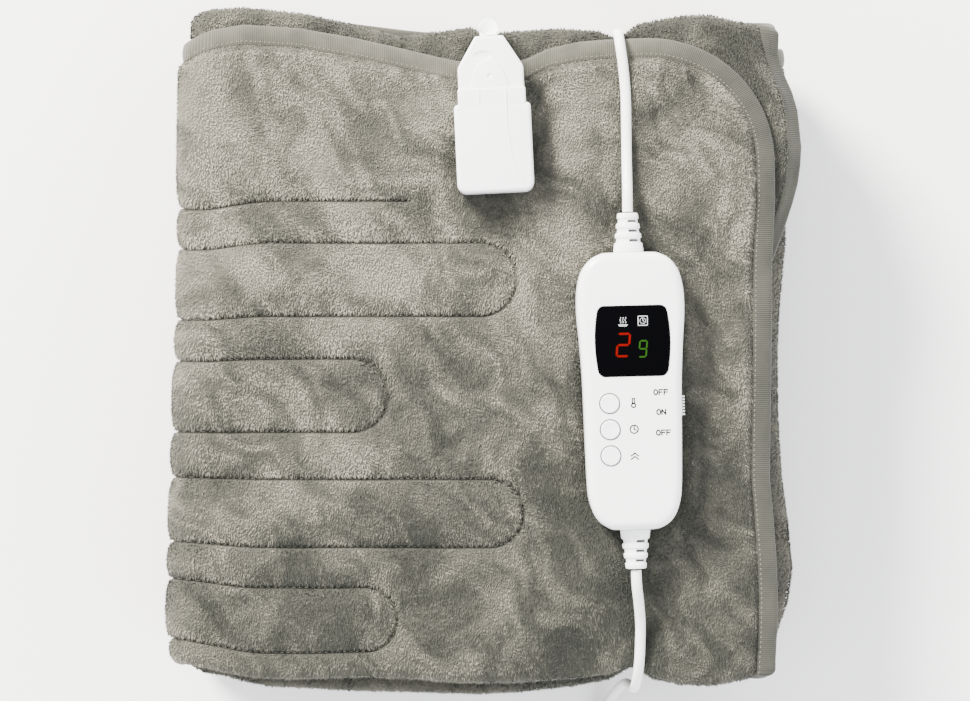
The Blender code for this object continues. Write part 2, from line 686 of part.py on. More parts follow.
def strain_relief(way):
    """A ribbed strain relief on one end of the controller, flatter than it is wide."""
    mesh = bmesh.new()
    start = CONTROLLER_LENGTH / 2 + SEAT_GAP
    loops = []
    for radius, at in relief_rings():
        ring = bmesh.ops.create_circle(mesh, segments=12, radius=radius)["verts"]
        start_flat, end_flat = RELIEF_FLATNESS
        flat = start_flat + (end_flat - start_flat) * at / RELIEF_LENGTH
        for vert in ring:
            vert.co = Vector((vert.co.x, way * (start + at), RELIEF_Z + vert.co.y * flat))
        loops.append(ring)
    for first, second in zip(loops, loops[1:]):
        edges = {e for v in first for e in v.link_edges if e.other_vert(v) in first}
        edges |= {e for v in second for e in v.link_edges if e.other_vert(v) in second}
        bmesh.ops.bridge_loops(mesh, edges=list(edges))
    bmesh.ops.contextual_create(mesh, geom=loops[0])
    bmesh.ops.contextual_create(mesh, geom=loops[-1])
    turn_outwards(mesh)
    return mesh


def place_controller(mesh):
    """Moves a mesh from the controller's frame to where it lies on the stack."""
    bmesh.ops.rotate(mesh, cent=(0, 0, 0), matrix=Matrix.Rotation(CONTROLLER_TURN, 3, "Z"),
                     verts=mesh.verts)
    bmesh.ops.translate(mesh, vec=(*CONTROLLER_PLACE, LAID_Z), verts=mesh.verts)
    return mesh


def place_connector(mesh):
    """Moves a mesh from the connector's frame to where it lies on the stack."""
    bmesh.ops.rotate(mesh, cent=(0, 0, 0), matrix=Matrix.Rotation(CONNECTOR_TURN, 3, "Z"),
                     verts=mesh.verts)
    bmesh.ops.translate(mesh, vec=(*CONNECTOR_PLACE, LAID_Z), verts=mesh.verts)
    return mesh


# ---------------------------------------------------------------- objects

def material(name, colour, roughness, metallic=0.0):
    """A plain Principled material."""
    made = bpy.data.materials.new(name)
    made.use_nodes = True
    shader = made.node_tree.nodes["Principled BSDF"]
    shader.inputs["Base Color"].default_value = (*colour, 1.0)
    shader.inputs["Roughness"].default_value = roughness
    shader.inputs["Metallic"].default_value = metallic
    return made


def add_object(name, mesh, look, collection, smooth_shading=False):
    """Makes an object of a bmesh."""
    data = bpy.data.meshes.new(name)
    mesh.to_mesh(data)
    mesh.free()
    if smooth_shading:
        data.shade_smooth()
        data.set_sharp_from_angle(angle=math.radians(35))
    made = bpy.data.objects.new(name, data)
    data.materials.append(look)
    collection.objects.link(made)
    return made


def add_cutter(name, mesh, target, collection, look):
    """Cuts a mesh out of a target with a Boolean modifier."""
    cutter = add_object(name, mesh, look, collection)
    cutter.hide_render = True
    cutter.display_type = "WIRE"
    cut = target.modifiers.new(name, "BOOLEAN")
    cut.operation = "DIFFERENCE"
    cut.object = cutter


def add_tube(name, points, look, collection, radii=None, depth=CORD / 2, resolution=2):
    """A round cord along a list of points."""
    curve = bpy.data.curves.new(name, "CURVE")
    curve.dimensions = "3D"
    curve.bevel_depth = depth
    curve.bevel_resolution = resolution
    curve.use_fill_caps = True
    spline = curve.splines.new("POLY")
    spline.points.add(len(points) - 1)
    for k, point in enumerate(points):
        spline.points[k].co = (*point, 1.0)
        spline.points[k].radius = radii[k] if radii else 1.0
    curve.materials.append(look)
    made = bpy.data.objects.new(name, curve)
    collection.objects.link(made)
    return made


def smooth_route(route, spacing):
    """Evenly spaced points on a smooth curve through a route's own points."""
    dense = []
    points = [Vector(p) for p in route]
    for k in range(len(points) - 1):
        before = points[k - 1] if k else 2 * points[0] - points[1]
        after = points[k + 2] if k + 2 < len(points) else 2 * points[-1] - points[-2]
        start, end = points[k], points[k + 1]
        for step in range(24):
            t = step / 24
            dense.append(0.5 * (2 * start + (end - before) * t
                                + (2 * before - 5 * start + 4 * end - after) * t * t
                                + (3 * start - before - 3 * end + after) * t ** 3))
    dense.append(points[-1])
    total = sum((b - a).length for a, b in zip(dense, dense[1:]))
    count = max(2, round(total / spacing))
    even, walked, wanted = [dense[0]], 0.0, total / count
    for a, b in zip(dense, dense[1:]):
        length = (b - a).length
        while length > 0 and walked + length >= wanted and len(even) < count:
            even.append(a + (b - a) * (wanted - walked) / length)
            wanted += total / count
        walked += length
    return even + [dense[-1]]


# The cords' own routes, each point chosen by hand. The first point is 0.3 mm off the piece that
# the cord comes out of, and the last one is 0.3 mm off the piece that it goes into.
LINK_ROUTE = tuple(Vector(p) * MM for p in (
    (1.6, 154.95, 95.3), (1.5, 155, 86), (1.2, 155, 72), (0.8, 155, 56), (0.6, 155.1, 40),
    (0.6, 155.3, 26), (3.2, 155.5, 13.6), (9.8, 155.6, 5.4), (19.5, 155.5, 2.7), (32, 155.3, 2.6),
    (44.5, 155.0, 2.7), (54.5, 154.6, 5.4), (61.3, 154.0, 13.6), (63.9, 153.4, 26),
    (64.0, 152.9, 40), (63.9, 152.8, 58), (63.9, 152.8, 74), (63.9, 152.8, 86),
    (64.0, 152.6, 92), (64.4, 150.1, 97), (65.0, 145.2, 99.8), (65.9, 139, 100.2), (66.9, 130, 99.8),
    (67.5, 121, 99.9), (67.7, 108, 100.4), (67.8, 95, 101.6), (67.9, 84, 104.6),
    (67.9, 75.5, 108.3), (67.93, 66.1, 108.95)))
MAINS_ROUTE = tuple(Vector(p) * MM for p in (
    (72.07, -104.8, 108.95), (72.5, -112.5, 108.3), (73.7, -121.5, 103.6), (74.6, -131, 99.0),
    (74.6, -140, 97.0), (74.3, -148.5, 95.6), (73.7, -156.2, 91.4), (73.0, -161.8, 83.5),
    (72.5, -164.4, 73.5), (72.0, -165.2, 60), (71.4, -165.6, 45), (70.4, -166.4, 31),
    (68.2, -169.6, 17.5), (63.6, -176.6, 8.2), (56.4, -185.6, 4.8), (48.4, -194.4, 4.4),
    (41.0, -203.6, 4.4), (35.2, -214.2, 4.4), (32.1, -225.6, 4.4)))
TAIL_ROUTE = tuple(Vector(p) * MM for p in (
    (94.5, -261.3, 4.6), (102.4, -258.2, 4.3), (111.0, -257.4, 4.4), (119.0, -256.2, 5.8),
    (123.9, -251.2, 7.0), (124.9, -242.6, 7.1)))


def coil_solid():
    """The coil's outer shape: a ring with rounded edges, turned from its section."""
    inner, outer = COIL_MIDDLE - COIL_WIDTH / 2, COIL_MIDDLE + COIL_WIDTH / 2
    low, high, cut = COIL_LIFT, COIL_LIFT + COIL_HEIGHT, COIL_EDGE
    mesh = bmesh.new()
    section = ((outer, high - cut), (outer, low + cut), (outer - cut, low), (inner + cut, low),
               (inner, low + cut), (inner, high - cut), (inner + cut, high), (outer - cut, high))
    ring = [mesh.verts.new((r, 0, z)) for r, z in section]
    edges = [mesh.edges.new((ring[k - 1], ring[k])) for k in range(len(ring))]
    bmesh.ops.spin(mesh, geom=ring + edges, cent=(0, 0, 0), axis=(0, 0, 1),
                   angle=2 * math.pi, steps=28, use_merge=True)
    bmesh.ops.remove_doubles(mesh, verts=mesh.verts, dist=1e-6)
    turn_outwards(mesh)
    bmesh.ops.translate(mesh, vec=(*COIL_PLACE, 0), verts=mesh.verts)
    return mesh


def coil_tie():
    """The band that holds the coil together, round its section on the far side."""
    width, height = COIL_WIDTH + 2 * TIE_SIDE_GAP, COIL_HEIGHT + 2 * TIE_GAP
    wall = TIE_THICKNESS
    middle = COIL_LIFT + COIL_HEIGHT / 2
    mesh = bmesh.new()
    section = []
    for half_x, half_z in ((width / 2 + wall, height / 2 + wall), (width / 2, height / 2)):
        section.append([(-half_x, middle - half_z), (half_x, middle - half_z),
                        (half_x, middle + half_z), (-half_x, middle + half_z)])
    for side in (-TIE_WIDTH / 2, TIE_WIDTH / 2):
        rings = []
        for corners in section:
            verts = [mesh.verts.new((x, side, z)) for x, z in corners]
            rings.append([mesh.edges.new((verts[k - 1], verts[k])) for k in range(4)])
        bmesh.ops.bridge_loops(mesh, edges=rings[0] + rings[1])
    mesh.edges.ensure_lookup_table()
    for outer in (True, False):
        loop = [e for e in mesh.edges if e.is_boundary
                and all((abs(v.co.x) > width / 2 + wall / 2) == outer for v in e.verts)]
        bmesh.ops.bridge_loops(mesh, edges=loop)
    turn_outwards(mesh)
    bmesh.ops.translate(mesh, vec=(COIL_PLACE[0] + COIL_MIDDLE, COIL_PLACE[1], 0), verts=mesh.verts)
    return mesh


def boot_route():
    """The middle line of the plug's cord exit, which turns down at once."""
    start = PLUG_END + 0.3 * MM
    points = [Vector((0, start, BOOT_Z))]
    centre = Vector((0, start + SEAT_GAP, BOOT_Z - BOOT_BEND))
    for step in range(6):
        angle = math.pi / 2 * step / 5
        points.append(centre + BOOT_BEND * Vector((0, math.sin(angle), math.cos(angle))))
    points.append(points[-1] - Vector((0, 0, BOOT_DROP)))
    turn = Matrix.Rotation(CONNECTOR_TURN, 3, "Z")
    base = Vector((*CONNECTOR_PLACE, LAID_Z))
    return [base + turn @ point for point in points]


def build_controller(parts, cutters, looks):
    """The controller's shells, window, buttons, slider and strain reliefs."""
    base = prism(controller_outline(), 0.0, BASE_HEIGHT)
    soften(base, 0.0, SHELL_EDGE, 2)
    add_object("controller_base", place_controller(base), looks["shell"], parts)
    top = prism(controller_outline(), BASE_HEIGHT + SEAT_GAP, CONTROLLER_HEIGHT)
    soften(top, CONTROLLER_HEIGHT, SHELL_EDGE, 3)
    shell = add_object("controller_top", place_controller(top), looks["shell"], parts)

    x, y, width, length = DISPLAY
    floor = CONTROLLER_HEIGHT - DISPLAY_DEPTH
    pocket = prism(display_outline(x, y, width + 2 * SEAT_GAP, length + 2 * SEAT_GAP),
                   floor - SEAT_GAP, CONTROLLER_HEIGHT + MM)
    add_cutter("display_pocket", place_controller(pocket), shell, cutters, looks["shell"])
    window = prism(display_outline(x, y, width, length), floor, CONTROLLER_HEIGHT + DISPLAY_PROUD)
    add_object("display_window", place_controller(window), looks["window"], parts)

    for name, button_y in BUTTONS.items():
        bottom = CONTROLLER_HEIGHT + BUTTON_PROUD - BUTTON_HEIGHT
        well_floor = bottom - BUTTON_TRAVEL - SEAT_GAP
        well = cylinder((BUTTON_X, button_y, (well_floor + CONTROLLER_HEIGHT + MM) / 2),
                        BUTTON_RADIUS + SEAT_GAP, CONTROLLER_HEIGHT + MM - well_floor, 20)
        add_cutter(name + "_well", place_controller(well), shell, cutters, looks["shell"])
        button = cylinder((BUTTON_X, button_y, bottom + BUTTON_HEIGHT / 2), BUTTON_RADIUS,
                          BUTTON_HEIGHT, 20)
        soften(button, bottom + BUTTON_HEIGHT, BUTTON_EDGE, 1)
        add_object(name, place_controller(button), looks["button"], parts)

    side_share = (SLOT_Y + CONTROLLER_LENGTH / 2) / CONTROLLER_LENGTH
    wall = CONTROLLER_BOTTOM_WIDTH / 2 + side_share * (CONTROLLER_TOP_WIDTH - CONTROLLER_BOTTOM_WIDTH) / 2
    slot = box((wall, SLOT_Y, SLOT_Z), (2 * SLOT_DEPTH, SLOT_LENGTH, SLOT_HEIGHT))
    add_cutter("slider_slot", place_controller(slot), shell, cutters, looks["shell"])
    reach = SLOT_DEPTH - SEAT_GAP + SLIDER_PROUD
    slider = box((wall + SLIDER_PROUD - reach / 2, SLIDER_Y, SLOT_Z),
                 (reach, SLIDER_LENGTH, SLOT_HEIGHT - 2 * SEAT_GAP))
    add_object("power_slider", place_controller(slider), looks["slider"], parts)

    for name, way in (("relief_top", 1), ("relief_bottom", -1)):
        add_object(name, place_controller(strain_relief(way)), looks["shell"], parts)


def build_connector(parts, looks):
    """The socket on the blanket, the plug in it, and the plug's cord exit."""
    half = SOCKET_WIDTH / 2
    socket = prism(rounded_outline([(-half, SOCKET_END, SOCKET_MOUTH_CORNER),
                                    (-half, SOCKET_START, SOCKET_CORNER),
                                    (half, SOCKET_START, SOCKET_CORNER),
                                    (half, SOCKET_END, SOCKET_MOUTH_CORNER)], 4),
                   0.0, SOCKET_HEIGHT)
    soften(socket, SOCKET_HEIGHT, SOCKET_EDGE, 2)
    add_object("connector_socket", place_connector(socket), looks["socket"], parts)

    half, neck = PLUG_WIDTH / 2, PLUG_NECK / 2
    start = SOCKET_END + SEAT_GAP
    plug = prism(rounded_outline([(-neck, PLUG_END, NECK_CORNER), (-half, PLUG_SHOULDER, PLUG_CORNER),
                                  (-half, start, 0), (half, start, 0),
                                  (half, PLUG_SHOULDER, PLUG_CORNER), (neck, PLUG_END, NECK_CORNER)], 4),
                 PLUG_BOTTOM, PLUG_TOP)
    soften(plug, PLUG_TOP, PLUG_EDGE, 2)
    add_object("connector_plug", place_connector(plug), looks["shell"], parts)

    route = boot_route()
    radii = [1.0] * (len(route) - 1) + [BOOT_END_SHARE]
    add_tube("connector_boot", route, looks["shell"], parts, radii, BOOT_RADIUS, 3)


def build_mains_plug(parts, looks):
    """The flat two-pin mains plug at the cord's end."""
    width, length, height = MAINS_SIZE
    x, y = MAINS_PLACE
    half, shoulder = width / 2, -length / 6
    body = prism(rounded_outline([(-MAINS_NECK, -length / 2, MM), (MAINS_NECK, -length / 2, MM),
                                  (half, shoulder, MAINS_CORNER), (half, length / 2, MAINS_FACE_CORNER),
                                  (-half, length / 2, MAINS_FACE_CORNER), (-half, shoulder, MAINS_CORNER)],
                                 3), 0.0, height)
    soften(body, height, MAINS_EDGE, 2)
    bmesh.ops.translate(body, vec=(x, y, MAINS_LIFT), verts=body.verts)
    add_object("mains_plug", body, looks["shell"], parts)
    for side, name in ((-1, "mains_pin_left"), (1, "mains_pin_right")):
        start = y + length / 2 + SEAT_GAP
        pin = cylinder((x + side * PIN_SPACING / 2, start + PIN_LENGTH / 2, MAINS_LIFT + height / 2),
                       PIN_RADIUS, PIN_LENGTH, 12, "Y")
        add_object(name, pin, looks["pin"], parts)


def main():
    for old in list(bpy.data.objects):
        bpy.data.objects.remove(old, do_unlink=True)
    parts = bpy.data.collections.new("heated_blanket")
    cutters = bpy.data.collections.new("cutters")
    for collection in (parts, cutters):
        bpy.context.scene.collection.children.link(collection)

    looks = {
        "plush": material("plush", (0.33, 0.31, 0.26), 0.95),
        "tape": material("tape", (0.36, 0.33, 0.28), 0.9),
        "shell": material("white_plastic", (0.87, 0.87, 0.86), 0.25),
        "socket": material("socket_plastic", (0.85, 0.85, 0.84), 0.25),
        "button": material("button_plastic", (0.83, 0.84, 0.84), 0.35),
        "slider": material("slider_plastic", (0.80, 0.81, 0.81), 0.4),
        "window": material("dark_window", (0.01, 0.01, 0.01), 0.08),
        "cord": material("cord_jacket", (0.86, 0.86, 0.84), 0.35),
        "tie": material("cord_tie", (0.7, 0.7, 0.7), 0.6),
        "pin": material("plated_brass", (0.75, 0.74, 0.7), 0.3, 1.0),
    }

    add_object("blanket", cloth(), looks["plush"], parts, smooth_shading=True)
    add_object("binding", tape(), looks["tape"], parts)
    build_controller(parts, cutters, looks)
    build_connector(parts, looks)

    add_tube("lead_link", smooth_route(LINK_ROUTE, 2.4 * CORD), looks["cord"], parts)
    add_tube("lead_mains", smooth_route(MAINS_ROUTE, 2.4 * CORD), looks["cord"], parts)
    add_object("lead_coil", coil_solid(), looks["cord"], parts)
    add_object("coil_tie", coil_tie(), looks["tie"], parts)
    add_tube("lead_tail", smooth_route(TAIL_ROUTE, CORD), looks["cord"], parts)
    build_mains_plug(parts, looks)


main()
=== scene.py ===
"""Electric heated blanket, folded up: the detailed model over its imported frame.

Metres, +Z up, in the frame of the CAD part. The cloth is one sheet, folded in four across its
width and then back and forth six times along its length. The hand controller, the plug-in
connector, the cords and the mains plug are each built by a class of their own.
"""
import logging
import math
import sys
from collections.abc import Callable
from dataclasses import dataclass, field
from enum import Enum

import bmesh
import bpy
import numpy as np
from mathutils import Matrix, Vector, noise


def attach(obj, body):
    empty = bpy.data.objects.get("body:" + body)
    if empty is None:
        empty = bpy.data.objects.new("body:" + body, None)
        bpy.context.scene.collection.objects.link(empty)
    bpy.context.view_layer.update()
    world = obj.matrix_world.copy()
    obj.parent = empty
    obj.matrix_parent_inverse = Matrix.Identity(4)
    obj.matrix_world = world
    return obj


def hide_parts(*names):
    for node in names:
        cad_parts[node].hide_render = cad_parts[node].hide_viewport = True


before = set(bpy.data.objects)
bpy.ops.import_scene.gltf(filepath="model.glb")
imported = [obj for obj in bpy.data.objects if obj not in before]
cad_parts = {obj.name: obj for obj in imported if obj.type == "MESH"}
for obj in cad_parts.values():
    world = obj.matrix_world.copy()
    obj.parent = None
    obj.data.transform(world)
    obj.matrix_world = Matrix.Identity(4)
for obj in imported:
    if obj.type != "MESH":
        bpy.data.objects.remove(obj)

MM = 0.001
BODY = "folded_blanket"
LOG = logging.getLogger("heated_blanket")

Array = np.ndarray
Shape = bmesh.types.BMesh
Piece = bpy.types.Object
Tree = bpy.types.NodeTree
Node = bpy.types.Node
Socket = bpy.types.NodeSocket


# ---------------------------------------------------------------- colours, nodes and finishes

def linear(hex_colour: str) -> tuple[float, float, float, float]:
    """Turns an sRGB hex colour into Blender's linear one.

    Args:
        hex_colour: six hex digits after a #.

    Returns:
        The linear colour with an alpha of 1.
    """
    shares = [int(hex_colour[k:k + 2], 16) / 255 for k in (1, 3, 5)]
    channels = [s / 12.92 if s <= 0.04045 else ((s + 0.055) / 1.055) ** 2.4 for s in shares]
    return (*channels, 1.0)


def feed(tree: Tree, node: Node, values: dict | None = None,
         links: dict | None = None) -> None:
    """Sets a node's sockets and links outputs to them.

    Args:
        tree: the material's node tree.
        node: the node.
        values: socket name or number to its constant value.
        links: socket name or number to the output that feeds it.
    """
    for socket, value in (values or {}).items():
        node.inputs[socket].default_value = value
    for socket, output in (links or {}).items():
        tree.links.new(output, node.inputs[socket])


def add_node(tree: Tree, kind: str, values: dict | None = None,
             links: dict | None = None, stops: tuple = (), **settings) -> Node:
    """Adds a node with its settings, socket values and links.

    Args:
        tree: the material's node tree.
        kind: the node's type name.
        values: socket name or number to its constant value.
        links: socket name or number to the output that feeds it.
        stops: (position, hex colour) pairs of a colour ramp.
        settings: attributes of the node itself.

    Returns:
        The new node.
    """
    node = tree.nodes.new(kind)
    for name, value in settings.items():
        setattr(node, name, value)
    feed(tree, node, values, links)
    for index, (position, colour) in enumerate(stops):
        ramp = node.color_ramp.elements
        element = ramp[index] if index < 2 else ramp.new(position)
        element.position = position
        element.color = linear(colour)
    return node


def millimetres(tree: Tree, source: Socket,
                scale: tuple[float, float, float] = (1000, 1000, 1000)) -> Socket:
    """Turns coordinates in metres into millimetres, so that patterns take real sizes."""
    return add_node(tree, "ShaderNodeMapping", {"Scale": scale}, {"Vector": source}).outputs["Vector"]


def attribute(tree: Tree, name: str) -> Socket:
    """Reads a number that is kept for each point of the mesh."""
    return add_node(tree, "ShaderNodeAttribute", attribute_name=name).outputs["Fac"]


def speckle(tree: Tree, place: Socket,
            **values: float) -> Socket:
    """Noise over coordinates, with the noise node's own values."""
    return add_node(tree, "ShaderNodeTexNoise", values, {"Vector": place}).outputs["Fac"]


def mix(tree: Tree, share: float, first: Socket,
        second: Socket) -> Socket:
    """Blends two values, where share is the second one's part."""
    links = {2: first, 3: second}
    return add_node(tree, "ShaderNodeMix", {0: share}, links, data_type="FLOAT").outputs[0]


def bump(tree: Tree, height: Socket, strength: float,
         distance: float) -> Socket:
    """Turns a height into a bumped normal."""
    values = {"Strength": strength, "Distance": distance}
    return add_node(tree, "ShaderNodeBump", values, {"Height": height}).outputs["Normal"]


def toned(tree: Tree, share: Socket,
          stops: tuple) -> Socket:
    """Turns a share from 0 to 1 into a colour between the stops."""
    return add_node(tree, "ShaderNodeValToRGB", None, {"Fac": share}, stops).outputs["Color"]


def blank_material(name: str) -> tuple[bpy.types.Material, Tree, Node]:
    """Starts a material with a Principled shader.

    Args:
        name: the finish's name.

    Returns:
        The material, its node tree and its shader.
    """
    material = bpy.data.materials.new(name)
    material.use_nodes = True
    tree = material.node_tree
    return material, tree, tree.nodes["Principled BSDF"]


@dataclass(frozen=True)
class CrushedPlush:
    """Polyester microplush, knitted and sheared.

    Its short pile lies over in patches, so it looks pale where it leans away from the eye and dark
    where it leans towards it; that light and shade is painted into its colour, as is the shade in its
    stitched grooves. It has a soft sheen at its edges.
    """
    name: str = "polyester_microplush"
    pale: str = "#636157"
    middle: str = "#403f38"
    dark: str = "#22241f"
    crease_mm: float = 6.0       # width of a small lean in the pile, whose light and shade is painted into the colour
    tuft_mm: float = 0.9         # width of a tuft of fibres
    crease_share: float = 0.3    # how much of the tone each of them gives
    tuft_share: float = 0.4
    groove_shade_share: float = 0.3    # how much painted shade darkens a stitched groove
    height: float = 1.0 * MM     # height of the pile's relief

    def material(self) -> bpy.types.Material:
        """Builds the pile's material on the cloth's own flat coordinates.

        Returns:
            The material.
        """
        material, tree, shader = blank_material(self.name)
        in_mm = millimetres(tree, add_node(tree, "ShaderNodeUVMap", uv_map="flat").outputs["UV"])
        # painted light and shade of the pile's leans: the tone attribute and the crease noise; the tuft
        # noise is the fibres' own grain
        crease, tuft = (speckle(tree, in_mm, Scale=1 / width, Detail=3.0, Roughness=0.6, Distortion=0.3)
                        for width in (self.crease_mm, self.tuft_mm))
        nap = mix(tree, self.crease_share, attribute(tree, "tone"), crease)
        tone = mix(tree, self.tuft_share, nap, tuft)
        # painted shade in the stitched grooves, read from the hollow attribute
        shade = add_node(tree, "ShaderNodeMath", {1: self.groove_shade_share}, {0: attribute(tree, "hollow")},
                         operation="MULTIPLY")
        shaded = add_node(tree, "ShaderNodeMath", None, {0: tone, 1: shade.outputs[0]},
                          operation="SUBTRACT")
        stops = ((0.2, self.dark), (0.8, self.pale), (0.5, self.middle))
        feed(tree, shader,
             {"Roughness": 0.95, "Specular IOR Level": 0.15, "Sheen Weight": 0.35,
              "Sheen Roughness": 0.45, "Sheen Tint": linear("#d8d4c8")},
             {"Base Color": toned(tree, shaded.outputs[0], stops),
              "Normal": bump(tree, mix(tree, 0.35, tuft, crease), 0.9, self.height)})
        return material


@dataclass(frozen=True)
class PileFibre:
    """Tips of the plush pile: each tuft has a tone of its own, kept in an attribute, with painted light
    and shade in it.
    """
    name: str = "polyester_pile_tips"
    pale: str = "#858174"
    middle: str = "#55544b"
    dark: str = "#292b27"

    def material(self) -> bpy.types.Material:
        """Builds the tufts' material.

        Returns:
            The material.
        """
        material, tree, shader = blank_material(self.name)
        stops = ((0.2, self.dark), (0.8, self.pale), (0.5, self.middle))
        feed(tree, shader,
             {"Roughness": 0.9, "Specular IOR Level": 0.2, "Sheen Weight": 0.4,
              "Sheen Roughness": 0.4, "Sheen Tint": linear("#dcd8cc")},
             {"Base Color": toned(tree, attribute(tree, "tone"), stops)})
        return material


@dataclass(frozen=True)
class RibbedTape:
    """Warp-knitted polyester tape.

    Fine ribs run across it. It is darker by painted shade near the sheet's start, which its attribute
    tells.
    """
    name: str = "knitted_polyester_tape"
    pale: str = "#545248"
    dark: str = "#2a2b25"
    rib_mm: float = 0.95         # rib spacing, a little coarser than real so that it shows
    rib_height: float = 0.3 * MM
    wear_share: float = 0.7      # how much of the tone comes from wear, and not from the ribs

    def material(self) -> bpy.types.Material:
        """Builds the tape's material on its length (x) and width (y).

        Returns:
            The material.
        """
        material, tree, shader = blank_material(self.name)
        in_mm = millimetres(tree, add_node(tree, "ShaderNodeUVMap", uv_map="flat").outputs["UV"])
        ribs = add_node(tree, "ShaderNodeTexWave",
                        {"Scale": 2 * math.pi / 20 / self.rib_mm, "Distortion": 0.8, "Detail": 1.0,
                         "Detail Scale": 0.4}, {"Vector": in_mm}, bands_direction="X").outputs["Fac"]
        tone = mix(tree, self.wear_share, ribs, speckle(tree, in_mm, Scale=0.09, Detail=4.0))
        # painted shade: the tape is darker near the sheet's start, at the right side of the stack
        tape_lit_tone = add_node(tree, "ShaderNodeMath", None, {0: tone, 1: attribute(tree, "tape_light")},
                        operation="MULTIPLY")
        feed(tree, shader,
             {"Roughness": 0.85, "Specular IOR Level": 0.25, "Sheen Weight": 0.15,
              "Sheen Roughness": 0.5},
             {"Base Color": toned(tree, tape_lit_tone.outputs[0], ((0.1, self.dark), (0.7, self.pale))),
              "Normal": bump(tree, ribs, 0.6, self.rib_height)})
        return material


@dataclass(frozen=True)
class MouldedPlastic:
    """Injection-moulded plastic, smooth or with a fine spark-eroded grain."""
    name: str
    colour: str
    roughness: float
    grain_mm: float = 0.8        # grain width
    grain_height: float = 0.004  # in mm
    ior: float = 1.53
    uneven: float = 0.15         # how far the gloss wanders over the face, as a share

    def material(self) -> bpy.types.Material:
        """Builds the plastic's material.

        Returns:
            The material.
        """
        material, tree, shader = blank_material(self.name)
        in_mm = millimetres(tree, add_node(tree, "ShaderNodeTexCoord").outputs["Object"])
        grain = speckle(tree, in_mm, Scale=1 / self.grain_mm, Detail=2.0)
        rough = add_node(tree, "ShaderNodeMapRange",
                         {"To Min": self.roughness * (1 - self.uneven),
                          "To Max": self.roughness * (1 + self.uneven)},
                         {"Value": speckle(tree, in_mm, Scale=0.05, Detail=1.0)})
        feed(tree, shader, {"Base Color": linear(self.colour), "IOR": self.ior},
             {"Roughness": rough.outputs["Result"],
              "Normal": bump(tree, grain, 0.5, self.grain_height * MM)})
        return material


@dataclass(frozen=True)
class Lamp:
    """A lit segment or icon behind the display's window."""
    name: str
    colour: str
    strength: float

    def material(self) -> bpy.types.Material:
        """Builds the lit material.

        Returns:
            The material.
        """
        material, tree, shader = blank_material(self.name)
        colour = linear(self.colour)
        feed(tree, shader, {"Base Color": colour, "Emission Color": colour, "Roughness": 0.4,
                            "Emission Strength": self.strength, "Specular IOR Level": 0.0})
        return material


@dataclass(frozen=True)
class PlatedMetal:
    """Nickel-plated brass, drawn and tumbled: bright, with faint lines along its length."""
    name: str = "nickel_plated_brass"
    colour: str = "#c9c6bd"
    line_mm: float = 0.4
    stretch: tuple[float, float, float] = (1000, 60, 1000)  # drawn out along Y

    def material(self) -> bpy.types.Material:
        """Builds the metal's material.

        Returns:
            The material.
        """
        material, tree, shader = blank_material(self.name)
        place = add_node(tree, "ShaderNodeTexCoord").outputs["Object"]
        lines = speckle(tree, millimetres(tree, place, self.stretch), Scale=1 / self.line_mm,
                        Detail=2.0)
        rough = add_node(tree, "ShaderNodeMapRange", {"To Min": 0.22, "To Max": 0.38},
                         {"Value": lines})
        feed(tree, shader, {"Base Color": linear(self.colour), "Metallic": 1.0},
             {"Roughness": rough.outputs["Result"]})
        return material


@dataclass(frozen=True)
class StudioPaper:
    """Seamless paper under the object: matt, very pale, with a faint tooth."""
    name: str = "seamless_paper"
    colour: str = "#f4f4f2"
    tooth_height: float = 0.1 * MM

    def material(self) -> bpy.types.Material:
        """Builds the paper's material.

        Returns:
            The material.
        """
        material, tree, shader = blank_material(self.name)
        place = add_node(tree, "ShaderNodeTexCoord").outputs["Object"]
        tooth = speckle(tree, place, Scale=700.0)
        feed(tree, shader, {"Base Color": linear(self.colour), "Roughness": 0.9},
             {"Normal": bump(tree, tooth, 0.1, self.tooth_height)})
        return material


class Material(Enum):
    """Every finish on the object and in the studio."""
    PLUSH = CrushedPlush()
    PILE = PileFibre()
    TAPE = RibbedTape()
    THREAD = MouldedPlastic("polyester_sewing_thread", "#403e37", 0.8, 0.3, 0.03)
    EDGE_THREAD = MouldedPlastic("pale_polyester_thread", "#625f54", 0.7, 0.3, 0.03)
    SHELL = MouldedPlastic("white_abs_gloss", "#f1f2f1", 0.22)
    SOCKET = MouldedPlastic("white_abs_satin", "#eff0ef", 0.3)
    BUTTON = MouldedPlastic("white_abs_button", "#eceeee", 0.3)
    # dark plastic put in gaps, slots and grooves as painted shade
    GAP_SHADE = MouldedPlastic("shadowed_abs", "#3f4244", 0.7, ior=1.1)
    SLIDER = MouldedPlastic("white_pom_slider", "#e6e8e8", 0.4)
    CORD = MouldedPlastic("white_pvc_jacket", "#efefec", 0.38, 1.5, 0.01)
    SOFT = MouldedPlastic("white_soft_pvc", "#f0f0ee", 0.42, 0.6, 0.008)
    WINDOW = MouldedPlastic("anti_glare_black_acrylic", "#020203", 0.1, 0.8, 0.001, 1.07)
    INK = MouldedPlastic("dark_grey_pad_print", "#0c0d0e", 0.6, 0.4, 0.001, 1.05)
    ICON = Lamp("white_backlit_icon", "#b4b8ba", 0.3)
    RED = Lamp("red_led", "#560705", 0.3)
    GREEN = Lamp("green_led", "#1b3a0e", 0.14)
    TIE = MouldedPlastic("grey_hook_tape", "#b9bab8", 0.9, 0.5, 0.05)
    PIN = PlatedMetal()
    PAPER = StudioPaper()


